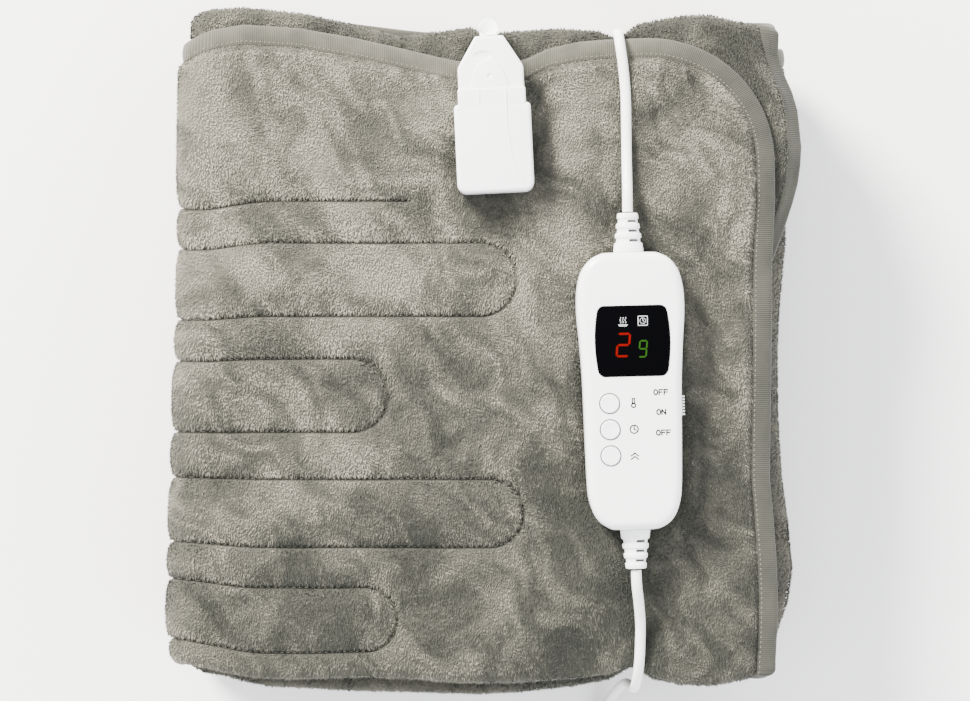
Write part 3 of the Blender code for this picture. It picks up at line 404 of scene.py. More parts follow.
@dataclass
class Workshop:
    """Makes the scene's objects and keeps each finish's material."""
    made: dict[str, bpy.types.Material] = field(default_factory=dict)

    def finish(self, kind: Material) -> bpy.types.Material:
        """Gives a finish's material, and builds it the first time.

        Args:
            kind: the finish.

        Returns:
            Its material.
        """
        if kind.name not in self.made:
            self.made[kind.name] = kind.value.material()
        return self.made[kind.name]

    def add(self, name: str, mesh: Shape, kind: Material, body: str = BODY,
            replaces: tuple[str, ...] = (), slot: str = "", angle: float = 40) -> Piece:
        """Turns a bmesh into a finished piece.

        Args:
            name: the piece's name.
            mesh: its shape, which is freed.
            kind: its finish.
            body: the CAD body it rides on.
            replaces: the CAD nodes it stands for.
            slot: the record's material slot, if it replaces no node; not used.
            angle: edges sharper than this many degrees stay sharp.

        Returns:
            The new object.
        """
        data = bpy.data.meshes.new(name)
        mesh.to_mesh(data)
        mesh.free()
        return self.add_data(name, data, kind, body, replaces, slot, angle)

    def add_data(self, name: str, data: bpy.types.ID, kind: Material, body: str = BODY,
                 replaces: tuple[str, ...] = (), slot: str = "",
                 angle: float = 40) -> Piece:
        """Turns mesh or curve data into a finished piece; takes the same values as add.

        Args:
            name, data: the piece's name and its mesh or curve.
            kind, body, replaces, slot, angle: as for add.

        Returns:
            The new object.
        """
        if isinstance(data, bpy.types.Mesh):
            data.shade_smooth()
            data.set_sharp_from_angle(angle=math.radians(angle))
        piece = bpy.data.objects.new(name, data)
        data.materials.clear()
        data.materials.append(self.finish(kind))
        bpy.context.scene.collection.objects.link(piece)
        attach(piece, body)
        if replaces:
            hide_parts(*replaces)
        LOG.info("%s: %s", name, kind.value.name)
        return piece


# ---------------------------------------------------------------- the folded cloth

def soft_step(share: Array) -> Array:
    """A smooth step from 0 to 1."""
    share = np.clip(share, 0.0, 1.0)
    return share * share * (3 - 2 * share)


def serpentine(distance: Array, offset: Array, stops: tuple[float, ...],
               pitch: float) -> tuple[Array, Array, Array]:
    """Points of a band that is folded back and forth.

    Args:
        distance: how far along the band each point lies.
        offset: how far it lies off the band's middle line.
        stops: where each straight run starts and ends along the axis.
        pitch: height from one run's middle to the next one's.

    Returns:
        Each point's place along the axis, its height below the first run, and its run.
    """
    radius = pitch / 2
    turn = math.pi * radius
    place, height, number = np.zeros_like(distance), np.zeros_like(distance), np.zeros_like(distance)
    start_at, level = 0.0, 0.0
    for run, (start, end) in enumerate(zip(stops, stops[1:])):
        heading = 1.0 if end > start else -1.0
        length = abs(end - start)
        local = distance - start_at
        last = run == len(stops) - 2
        flat = ((local >= 0) | (run == 0)) & ((local <= length) | last)
        place = np.where(flat, start + heading * local, place)
        height = np.where(flat, level - heading * offset, height)
        number = np.where(flat, run, number)
        bend = (local > length) & (local < length + turn) & (not last)
        angle = (local - length) / radius
        reach = radius - heading * offset
        place = np.where(bend, end + heading * reach * np.sin(angle), place)
        height = np.where(bend, level - radius + reach * np.cos(angle), height)
        number = np.where(bend, run + angle / math.pi, number)
        start_at += length + turn
        level -= pitch
    return place, height, number


def drawn(place: Array, pairs: tuple[tuple[float, float], ...]) -> Array:
    """Reads values from a line through pairs of a place and a value, given in millimetres."""
    places, values = np.array(pairs).T * MM
    return np.interp(place, places, values)


@dataclass
class FoldPlan:
    """How the flat cloth lies folded.

    u runs along the cloth's length, v across its width and w through its thickness. Layers A to
    D are the four that the width is folded into, from the top, and runs 0 to 5 are those that
    the length is folded into.
    """
    thickness: float = 3.4 * MM
    layer_pitch: float = 4.0 * MM
    bound_y: float = 149 * MM
    fold_y: float = 155 * MM
    run_gap: float = 1.2 * MM
    left_x: float = -136 * MM
    right_x: float = 131 * MM
    bound_x: float = 139 * MM
    corner: float = 58 * MM
    shift_depth: float = 80 * MM
    wave: float = 3 * MM
    wave_length: float = 55 * MM
    # how far the top packet's edges lie from a straight fold: (x, shift)
    bound_edge: tuple = (
        (-150, 0), (-139, 4.0), (-121, 6.8), (-91, 5.1), (-65, 1.0), (-40, -4.5), (-14, -10.5),
        (2, -12), (19, -10), (31, -4.3), (45, -1.2), (61, 0), (78, 0.5), (94, 0), (139, -1))
    far_edge: tuple = (
        (-150, 4.0), (-143, 5.7), (-122, 6.7), (-89, 3.8), (-65, -1), (-41, -6.8), (-22, -4.6),
        (-7, -2.5), (2, -7.5), (9, -4.9), (36, -3.2), (55, -4.4), (64, -8.5), (74, -1), (94, 2.8),
        (108, 3.3), (122, 0), (142, -2.5))
    near_edge: tuple = (
        (-150, 3), (-134, 2.4), (-113, 1.5), (-86, 1), (-58, 2), (-32, 1), (-11, -0.9), (14, -0.9),
        (42, 0.5), (60, 3.0), (71, 7.4), (77, 5.2), (82, 1.5), (94, -1.9), (110, -2.3), (128, 1.5))
    under_edge: tuple = (
        (-150, 5), (-127, 1.5), (-118, -1.3), (-105, -3.8), (-86, -4.7), (-70, -5.7), (-32, -6.7),
        (-4, -7.6), (18, -6.7), (42, -4.3), (60, -1.0), (71, 5.5), (78, 1.5), (82, -0.9),
        (91, -2.3), (110, -2), (130, 0))
    # how far the turns at each side reach: (y, shift)
    left_turn: tuple = (
        (-155, 1.5), (-144, -1.5), (-100, -1.1), (-50, 0.9), (0, 2.5), (40, 3.9), (110, 4.1),
        (150, 4.8))
    right_turn: tuple = (
        (-155, -8), (-137, -4.4), (-122, 1), (-107, 3), (-85, 1), (-62, -2), (-30, -3.5), (0, -3.4),
        (24, -2), (53, 1), (150, 0))
    # how far the free ends slide out past the tape's even line: (y, slip)
    slip_a: tuple = (
        (-151, 0), (-137, 0.7), (-120, 1), (-99, 0.2), (-78, -1.2), (-62, -2.6), (44, -1.7),
        (72, -0.3), (97, -0.6), (150, 0))
    slip_b: tuple = (
        (-155, -5), (0, -6), (20, -4), (42, 0), (55, 6), (67, 10.4), (81, 14.2), (96, 16), (122, 13.5),
        (138, 6.5), (155, 2))
    slip_under: float = -3 * MM
    slip_start: float = 20 * MM  # how far from a free end the slip starts to fade
    slip_depth: float = 70 * MM  # how long it takes to fade out
    side_start: float = 60 * MM  # how far from the middle the shifts of the turns start
    side_depth: float = 70 * MM  # how long they take to be full
    under_left: float = 4.5 * MM  # how far the lower turns lie in at the left, and how they skew
    under_skew: float = 3 * MM
    # where the top layer is drawn together: left of x, near side of y, toward a line, by a share
    gather_x: float = -104 * MM
    gather_y: float = 75 * MM
    gather_line: float = -38 * MM
    gather_share: float = 0.05
    notches: tuple = ((1 * MM, 1, -7 * MM), (66 * MM, 1, -9 * MM), (71 * MM, -1, 8 * MM),
                      (-142 * MM, -1, 9 * MM))
    notch_width: float = 26 * MM
    # where the second layer's taped edge hangs: its width, far side of y, how far in and down
    hem_hang: float = 11 * MM
    hang_y: float = 20 * MM
    hang_in: float = 2.5 * MM
    hang_drop: float = 5.0 * MM
    # rises and hollows of the stack: x, y, width, length (mm) and the share of its height
    swells: tuple = ((-150, -40, 70, 160, 0.025), (160, 20, 60, 160, -0.045),
                     (-20, -175, 170, 60, -0.035), (-120, 170, 110, 60, -0.03),
                     (35, 185, 110, 50, -0.07), (71, -185, 60, 45, -0.07))
    # soft wrinkles of the top: wavelength x and y (mm), height (mm), phase
    wrinkles: tuple = ((61, 83, 1.2, 0.3), (-47, 58, 1.0, 1.9), (35, -41, 0.8, 4.0),
                       (29, 120, 0.7, 2.2), (-95, 33, 0.7, 5.1), (22, 27, 0.45, 0.9),
                       (-24, 31, 0.4, 3.3), (13, -17, 0.25, 1.1), (-11, -14, 0.22, 5.2))
    # creases of the top: both ends (x, y), half width and depth, in millimetres
    creases: tuple = ((21, 146, 29, 108, 5, 1.8), (36, 120, 56, 133, 6, 1.2),
                      (81, 112, 106, 135, 6, 1.5), (74, 92, 98, 106, 6, 1.1),
                      (26, 88, 54, 60, 8, 1.2), (-26, 5, -7, -17, 8, 1.2),
                      (-40, -57, -8, -38, 7, 1.0), (36, -100, 72, -120, 8, 1.2),
                      (98, -82, 124, -110, 7, 1.3), (94, -130, 126, -120, 6, 1.0),
                      (-88, -14, -62, -19, 6, 0.8), (20, -60, 38, -85, 9, 1.0),
                      (100, 60, 122, 20, 8, 1.0), (-120, 118, -60, 96, 10, 0.7),
                      (4, 62, 30, 40, 8, 0.9), (-16, 100, -8, 70, 5, 1.0))

    def __post_init__(self) -> None:
        """Works out the lengths that follow from the sizes."""
        self.layer_stops = (self.bound_y, -self.fold_y, self.fold_y, -self.fold_y, self.bound_y)
        self.layer_turn = math.pi * self.layer_pitch / 2
        packet_half = 1.5 * self.layer_pitch + self.thickness / 2
        self.run_pitch = 2 * packet_half + self.run_gap
        self.run_turn = math.pi * self.run_pitch / 2
        self.two_runs = 2 * (self.right_x - self.left_x + self.run_turn)
        self.run_stops = (self.bound_x, self.left_x, self.right_x, self.left_x, self.right_x,
                          self.left_x, self.bound_x)
        self.top_middle = packet_half + 5 * self.run_pitch
        self.top = self.top_middle + packet_half
        self.width = self._length(self.layer_stops, self.layer_turn)
        self.length = self._length(self.run_stops, self.run_turn)
        self.near_fold = self.bound_y + self.fold_y
        self.far_fold = self.near_fold + self.layer_turn + 2 * self.fold_y
        self.under_fold = self.far_fold + self.layer_turn + 2 * self.fold_y
        self.first_turn = self.bound_x - self.left_x

    @staticmethod
    def _length(stops: tuple[float, ...], turn: float) -> float:
        """The length of a band that is folded between these stops."""
        return sum(abs(b - a) for a, b in zip(stops, stops[1:])) + turn * (len(stops) - 2)

    @staticmethod
    def _top_share(run: Array) -> Array:
        """How far points belong to the drawn top packet, fading over the run below it."""
        return np.maximum(0.0, 1 - run / 1.5)

    def _edge_shift(self, edge: str, x: Array, run: Array) -> Array:
        """How far one edge of each run's packet lies from its place on a straight fold.

        Args:
            edge: bound, far, near or under.
            x: the points' places along X.
            run: the run that each is in.

        Returns:
            The shifts along Y.
        """
        side = 1 if edge in ("far", "bound") else -1
        shape, phase = {"bound": (self.bound_edge, 0.4), "far": (self.far_edge, 1.9),
                        "near": (self.near_edge, 3.1), "under": (self.under_edge, 4.6)}[edge]
        top_share, top = self._top_share(run), drawn(x, shape)
        wave = self.wave * np.sin(x / self.wave_length + 1.7 * run + phase)
        weight, notch = np.zeros_like(x), np.zeros_like(x)
        for notch_x, notch_side, shift in self.notches:
            if notch_side == side:
                near = np.exp(-((x - notch_x) / self.notch_width) ** 2)
                weight = np.maximum(weight, near)
                notch = notch + near * shift
        if edge == "bound":
            under = np.minimum(wave, 0.0) - np.abs(notch) * 0.6
        else:
            under = (1 - weight) * wave + notch
        return top_share * top + (1 - top_share) * under

    def _shift_y(self, x: Array, v: Array, run: Array) -> Array:
        """How far points lie along Y from their places on straight folds.

        Args:
            x: the points' places along X.
            v: their places across the flat cloth.
            run: the run that each is in.

        Returns:
            The shifts.
        """
        lines = ((0.0, "bound"), (self.near_fold, "near"), (self.near_fold + self.layer_turn, "near"),
                 (self.far_fold, "far"), (self.far_fold + self.layer_turn, "far"),
                 (self.under_fold, "under"), (self.under_fold + self.layer_turn, "under"),
                 (self.width, "bound"))
        shifts = {edge: self._edge_shift(edge, x, run) for edge in ("bound", "near", "far", "under")}
        total = np.zeros_like(x)
        v = np.clip(v, 0.0, self.width)
        for (start, first), (end, second) in zip(lines, lines[1:]):
            here = (v >= start) & (v <= end)
            if first == second:
                total = np.where(here, shifts[first], total)
                continue
            near_start = 1 - soft_step((v - start) / self.shift_depth)
            near_end = 1 - soft_step((end - v) / self.shift_depth)
            total = np.where(here, near_start * shifts[first] + near_end * shifts[second], total)
        return total

    def _shift_x(self, x: Array, y: Array, run: Array) -> Array:
        """How far points lie along X from their places on straight folds.

        Args:
            x, y: the points' places on straight folds.
            run: the run that each is in.

        Returns:
            The shifts.
        """
        left = soft_step((-self.side_start - x) / self.side_depth)
        right = soft_step((x - self.side_start) / self.side_depth)
        wave = 0.6 * self.wave * np.sin(y / self.wave_length + 2.3 * run)
        top_share = self._top_share(run)
        left_under = wave / 2 + self.under_skew * y / self.fold_y + self.under_left
        left_shift = top_share * drawn(y, self.left_turn) + (1 - top_share) * left_under
        turned = np.clip(run, 0.0, 1.0)
        right_shift = turned * (drawn(y, self.right_turn) + 0.35 * (wave - 1 * MM))
        return left * left_shift + right * right_shift

    def _slip(self, y: Array, v: Array, distance: Array) -> Array:
        """How far the free ends slide out.

        Args:
            y: the points' places along Y.
            v: their places across the flat cloth.
            distance: how far they lie from the end along the cloth.

        Returns:
            The slips.
        """
        a, b = drawn(y, self.slip_a), drawn(y, self.slip_b)
        slip = a + (b - a) * soft_step((v - self.near_fold) / self.layer_turn)
        slip = slip + (self.slip_under - b) * soft_step((v - self.far_fold) / self.layer_turn)
        return slip * (1 - soft_step((distance - self.slip_start) / self.slip_depth))

    def swell(self, x: Array, y: Array) -> Array:
        """How the stack's height varies.

        Args:
            x, y: the points' places in the scene, in metres.

        Returns:
            The height there, as a share of its even height.
        """
        share = np.ones_like(x)
        for swell_x, swell_y, width, length, rise in self.swells:
            share = share + rise * np.exp(-((x / MM - swell_x) / width) ** 2
                                          - ((y / MM - swell_y) / length) ** 2)
        return share

    def valley(self, x: Array, y: Array) -> Array:
        """How deep the top's creases are.

        Args:
            x, y: the points' places in the scene, in metres.

        Returns:
            The depths, in millimetres.
        """
        x, y = x / MM, y / MM
        x = x + 2.5 * np.sin(y / 7.0)
        depth = np.zeros_like(x)
        for ax, ay, bx, by, half, deepest in self.creases:
            run_x, run_y = bx - ax, by - ay
            share = ((x - ax) * run_x + (y - ay) * run_y) / (run_x ** 2 + run_y ** 2)
            inside = np.clip(share, 0, 1)
            away = np.hypot(x - ax - inside * run_x, y - ay - inside * run_y)
            depth = depth + deepest * np.exp(-(away / half) ** 2)
        return depth

    def wrinkle(self, x: Array, y: Array) -> Array:
        """How high the top's soft wrinkles and creases stand.

        Args:
            x, y: the points' places in the scene, in metres.

        Returns:
            The heights, in metres.
        """
        creased = self.valley(x, y)
        x, y = x / MM, y / MM
        warped_x = x + 9 * np.sin(y / 31 + 0.7)
        warped_y = y + 8 * np.sin(x / 37 + 2.0)
        height = np.zeros_like(x)
        for length_x, length_y, rise, phase in self.wrinkles:
            height = height + rise * np.sin(warped_x / length_x * 2.4 + warped_y / length_y * 2.4
                                            + phase)
        return (height - creased) * MM

    def round_corners(self, u: Array, v: Array) -> tuple[Array, Array]:
        """Moves points of a square-cornered sheet so that its corners are round.

        Args:
            u, v: places in the square-cornered sheet.

        Returns:
            Their u and v in the round-cornered one.
        """
        in_u = (self.corner - np.minimum(u, self.length - u)) / self.corner
        in_v = (self.corner - np.minimum(v, self.width - v)) / self.corner
        inside = (in_u > 0) & (in_v > 0)
        ring = np.maximum(in_u, in_v)
        angle = math.pi / 4 * np.minimum(in_u, in_v) / np.maximum(ring, 1e-9)
        along, across = ring * np.cos(angle), ring * np.sin(angle)
        swap = in_u < in_v
        along, across = np.where(swap, across, along), np.where(swap, along, across)
        near_u, near_v = self.corner * (1 - along), self.corner * (1 - across)
        new_u = np.where(u < self.length / 2, near_u, self.length - near_u)
        new_v = np.where(v < self.width / 2, near_v, self.width - near_v)
        return np.where(inside, new_u, u), np.where(inside, new_v, v)

    def place(self, u: Array, v: Array, w: Array) -> Array:
        """Folds points of the flat cloth.

        Args:
            u, v, w: the points' places in the flat cloth, in metres.

        Returns:
            An array of x, y, z rows.
        """
        y, height, _ = serpentine(v, w, self.layer_stops, self.layer_pitch)
        slid = u - self._slip(y, v, u) + 0.6 * self._slip(y, v, self.length - u)
        x, z, run = serpentine(slid, height + 1.5 * self.layer_pitch, self.run_stops, self.run_pitch)
        moved_x = x + self._shift_x(x, y, run)
        moved_y = y + self._shift_y(x, v, run)
        # the top layer is drawn together where it goes over the left side
        gather = soft_step((self.gather_x - x) / (50 * MM)) * np.clip(1 - run, 0, 1)
        gather = gather * (1 - soft_step((v - self.near_fold) / (60 * MM)))
        gather = gather * (1 - soft_step((y - self.gather_y) / (60 * MM)))
        moved_y = moved_y - self.gather_share * gather * (y - self.gather_line)
        # the second layer's taped edge hangs down over the side
        hang = soft_step((self.hem_hang - u) / self.hem_hang) * (v > self.near_fold)
        hang = hang * soft_step((y - self.hang_y) / (40 * MM)) * (v < self.far_fold)
        moved_x = moved_x - self.hang_in * hang
        z = z - self.hang_drop * hang
        level = (self.top_middle + z) * self.swell(moved_x, moved_y)
        level = level + self.wrinkle(moved_x, moved_y) * np.clip(level / self.top, 0, 1) ** 6
        return np.stack([moved_x, moved_y, np.maximum(level, 0.0)], axis=1)


def spaced(*stretches: tuple[float, float, float]) -> Array:
    """Grid lines over stretches that follow each other, in metres.

    Args:
        stretches: (start, end, spacing) in millimetres.

    Returns:
        The lines' places, in order.
    """
    lines = []
    for start, end, spacing in stretches:
        count = max(1, round((end - start) / spacing))
        lines.extend(start + (end - start) * k / count for k in range(count))
    lines.append(stretches[-1][1])
    return np.array(lines) * MM


def grid_mesh(along: Array, across: Array) -> Shape:
    """Makes a flat grid, with a UV map of its own places.

    Args:
        along, across: where its columns and rows lie.

    Returns:
        A grid of points at (along, across, 0).
    """
    mesh = bmesh.new()
    uv = mesh.loops.layers.uv.new("flat")
    columns, rows = len(along) - 1, len(across) - 1
    bmesh.ops.create_grid(mesh, x_segments=columns, y_segments=rows, size=1.0)
    for vert in mesh.verts:
        column = round((vert.co.x + 1) / 2 * columns)
        row = round((vert.co.y + 1) / 2 * rows)
        vert.co = (along[column], across[row], 0.0)
    for face in mesh.faces:
        for loop in face.loops:
            loop[uv].uv = loop.vert.co.xy
    return mesh


def read_points(data: bpy.types.Mesh) -> Array:
    """Reads all points of a mesh.

    Args:
        data: the mesh.

    Returns:
        An array of x, y, z rows.
    """
    points = np.empty(len(data.vertices) * 3)
    data.vertices.foreach_get("co", points)
    return points.reshape(-1, 3)


def write_points(data: bpy.types.Mesh, points: Array) -> None:
    """Puts a mesh's points where the rows of x, y, z say."""
    data.vertices.foreach_set("co", points.ravel())
    data.update()


def write_values(data: bpy.types.Mesh, name: str, values: Array) -> None:
    """Keeps one number for each point of a mesh, for a material to read."""
    data.attributes.new(name, "FLOAT", "POINT").data.foreach_set("value", values)


def unit(rows: Array) -> Array:
    """Rows of x, y, z, each with a length of 1."""
    return rows / np.maximum(np.linalg.norm(rows, axis=1), 1e-12)[:, None]


def leaning(points: Array, size: float, octaves: int = 3) -> Array:
    """Smooth noise from about -1 to 1 over the flat cloth, with patches of the given size."""
    scaled = points / size
    return np.array([noise.fractal(Vector((a, b, 0.0)), 0.9, 2.1, octaves) for a, b in scaled])


@dataclass(frozen=True)
class Channel:
    """A stitched channel for the heating wire: its middle line, rounded end and half width."""
    y: float
    end_x: float
    half: float


@dataclass
class Quilting:
    """The seams of the heating channels and the relief that they give the cloth."""
    plan: FoldPlan
    channels: tuple[Channel, ...] = (
        Channel(34.3 * MM, -2.4 * MM, 17.6 * MM), Channel(-21.4 * MM, -64.2 * MM, 17.6 * MM),
        Channel(-78.0 * MM, 1.9 * MM, 16.4 * MM), Channel(-130.4 * MM, -58.2 * MM, 16.0 * MM))
    seam_y: float = 72.0 * MM
    seam_end: float = -38 * MM
    depth: float = 1.5 * MM
    groove: float = 0.85 * MM
    rise: float = 2.0 * MM
    puff_width: float = 5.0 * MM     # over what distance from a seam the channels rise
    fade: float = 14 * MM            # how gently the relief ends past the folds
    stitch: float = 3.0 * MM

    def laid(self, u: Array, v: Array) -> tuple[Array, Array]:
        """Where places of the stitched face come to lie, before they are moved about.

        Args:
            u, v: places in the flat cloth.

        Returns:
            Their x and y.
        """
        first, two_runs = self.plan.first_turn, self.plan.two_runs
        x = self.plan.bound_x - u
        for k in (1, 2):
            past = u > first + (k - 0.5) * two_runs
            x = np.where(past, self.plan.left_x - (u - first - k * two_runs), x)
        return x, self.plan.bound_y - v

    def seam_distance(self, x: Array, y: Array) -> Array:
        """How far points lie from the nearest seam.

        Args:
            x, y: the points' places in the scene, in metres.

        Returns:
            The distances.
        """
        nearest = np.hypot(np.maximum(0.0, x - self.seam_end), y - self.seam_y)
        for channel in self.channels:
            beyond = np.maximum(0.0, x - channel.end_x)
            away = np.abs(np.hypot(beyond, y - channel.y) - channel.half)
            nearest = np.minimum(nearest, away)
        return nearest

    def _reach(self, u: Array) -> Array:
        """Where the stitched face lies outside.

        Args:
            u: places along the flat cloth.

        Returns:
            1 there, fading to 0 past the folds at the left.
        """
        turn, first, fade = self.plan.run_turn, self.plan.first_turn, self.fade
        reach = 1 - soft_step((u - first - turn) / fade)
        for k in (1, 2):
            start = first + k * self.plan.two_runs
            reach = np.maximum(reach, soft_step((u - start + fade) / fade)
                               * (1 - soft_step((u - start - turn) / fade)))
        return reach

    def relief(self, u: Array, v: Array) -> Array:
        """How far the stitched face stands over the plain cloth.

        Args:
            u, v: places in the flat cloth.

        Returns:
            The heights.
        """
        away = self.seam_distance(*self.laid(u, v))
        puff = self.rise * (1 - np.exp(-(away / self.puff_width) ** 1.3))
        cut = self.depth * np.exp(-(away / self.groove) ** 2)
        on_face = soft_step((self.plan.near_fold + 6 * MM - v) / (8 * MM))
        return (puff - cut) * self._reach(u) * on_face

    def rows(self) -> list[float]:
        """How far from the bound edge, across the cloth, each straight seam lies."""
        sides = [channel.y + way * channel.half for channel in self.channels for way in (1, -1)]
        return [self.plan.bound_y - y for y in (self.seam_y, *sides)]

    def seams(self) -> list[Array]:
        """Lays out the seams on the top face.

        Returns:
            Rows of x, y for each seam, each one a stitch from the next.
        """
        left = self.plan.left_x - 0.75 * self.plan.run_turn
        found = [np.array([(left, self.seam_y), (self.seam_end, self.seam_y)])]
        for channel in self.channels:
            turn = np.linspace(math.pi / 2, -math.pi / 2, 25)
            arc = np.stack([channel.end_x + channel.half * np.cos(turn),
                            channel.y + channel.half * np.sin(turn)], axis=1)
            start = np.array([(left, channel.y + channel.half)])
            end = np.array([(left, channel.y - channel.half)])
            found.append(np.concatenate([start, arc, end]))
        return [resampled(line, self.stitch) for line in found]


def resampled(line: Array, spacing: float) -> Array:
    """Spaces the points of a line evenly.

    Args:
        line: the line's points.
        spacing: how far apart the new ones are.

    Returns:
        The new points, both ends among them.
    """
    steps = np.linalg.norm(np.diff(line, axis=0), axis=1)
    walked = np.concatenate([[0.0], np.cumsum(steps)])
    places = np.linspace(0, walked[-1], max(2, round(walked[-1] / spacing) + 1))
    return np.stack([np.interp(places, walked, column) for column in line.T], axis=1)


@dataclass(frozen=True)
class Press:
    """Something that lies on the cloth and presses it down.

    Args:
        line: the middle line of its footprint, as (x, y) rows.
        half: half the footprint's width.
        bottom: the height of its underside, one for each point of the line.
        slope: how steeply the cloth rises beside it.
        ridge: how high the pile stands up around it.
    """
    line: Array
    half: float
    bottom: Array
    slope: float
    ridge: float

    def beside(self, x: Array, y: Array) -> tuple[Array, Array]:
        """Measures points against the footprint.

        Args:
            x, y: the points' places in the scene, in metres.

        Returns:
            How far outside they are, and the underside's height there.
        """
        nearest = np.full_like(x, 1.0)
        bottom = np.zeros_like(x)
        for (ax, ay), (bx, by), low_a, low_b in zip(self.line, self.line[1:], self.bottom,
                                                   self.bottom[1:]):
            run_x, run_y = bx - ax, by - ay
            share = ((x - ax) * run_x + (y - ay) * run_y) / (run_x ** 2 + run_y ** 2)
            share = np.clip(share, 0, 1)
            away = np.hypot(x - ax - share * run_x, y - ay - share * run_y)
            bottom = np.where(away < nearest, low_a + share * (low_b - low_a), bottom)
            nearest = np.minimum(nearest, away)
        return np.maximum(0.0, nearest - self.half), bottom

    def act(self, x: Array, y: Array, height: Array) -> Array:
        """How far the cloth is moved down.

        Args:
            x, y: the points' places in the scene, in metres.
            height: where its face would be.

        Returns:
            The distances down, negative where it is raised.
        """
        outside, bottom = self.beside(x, y)
        limit = bottom + self.slope * outside
        lowered = np.maximum(0.0, height - limit) * np.exp(-(outside / (14 * MM)) ** 2)
        raised = self.ridge * np.exp(-((outside - 5 * MM) / (5 * MM)) ** 2) * (outside > 0)
        return lowered - raised


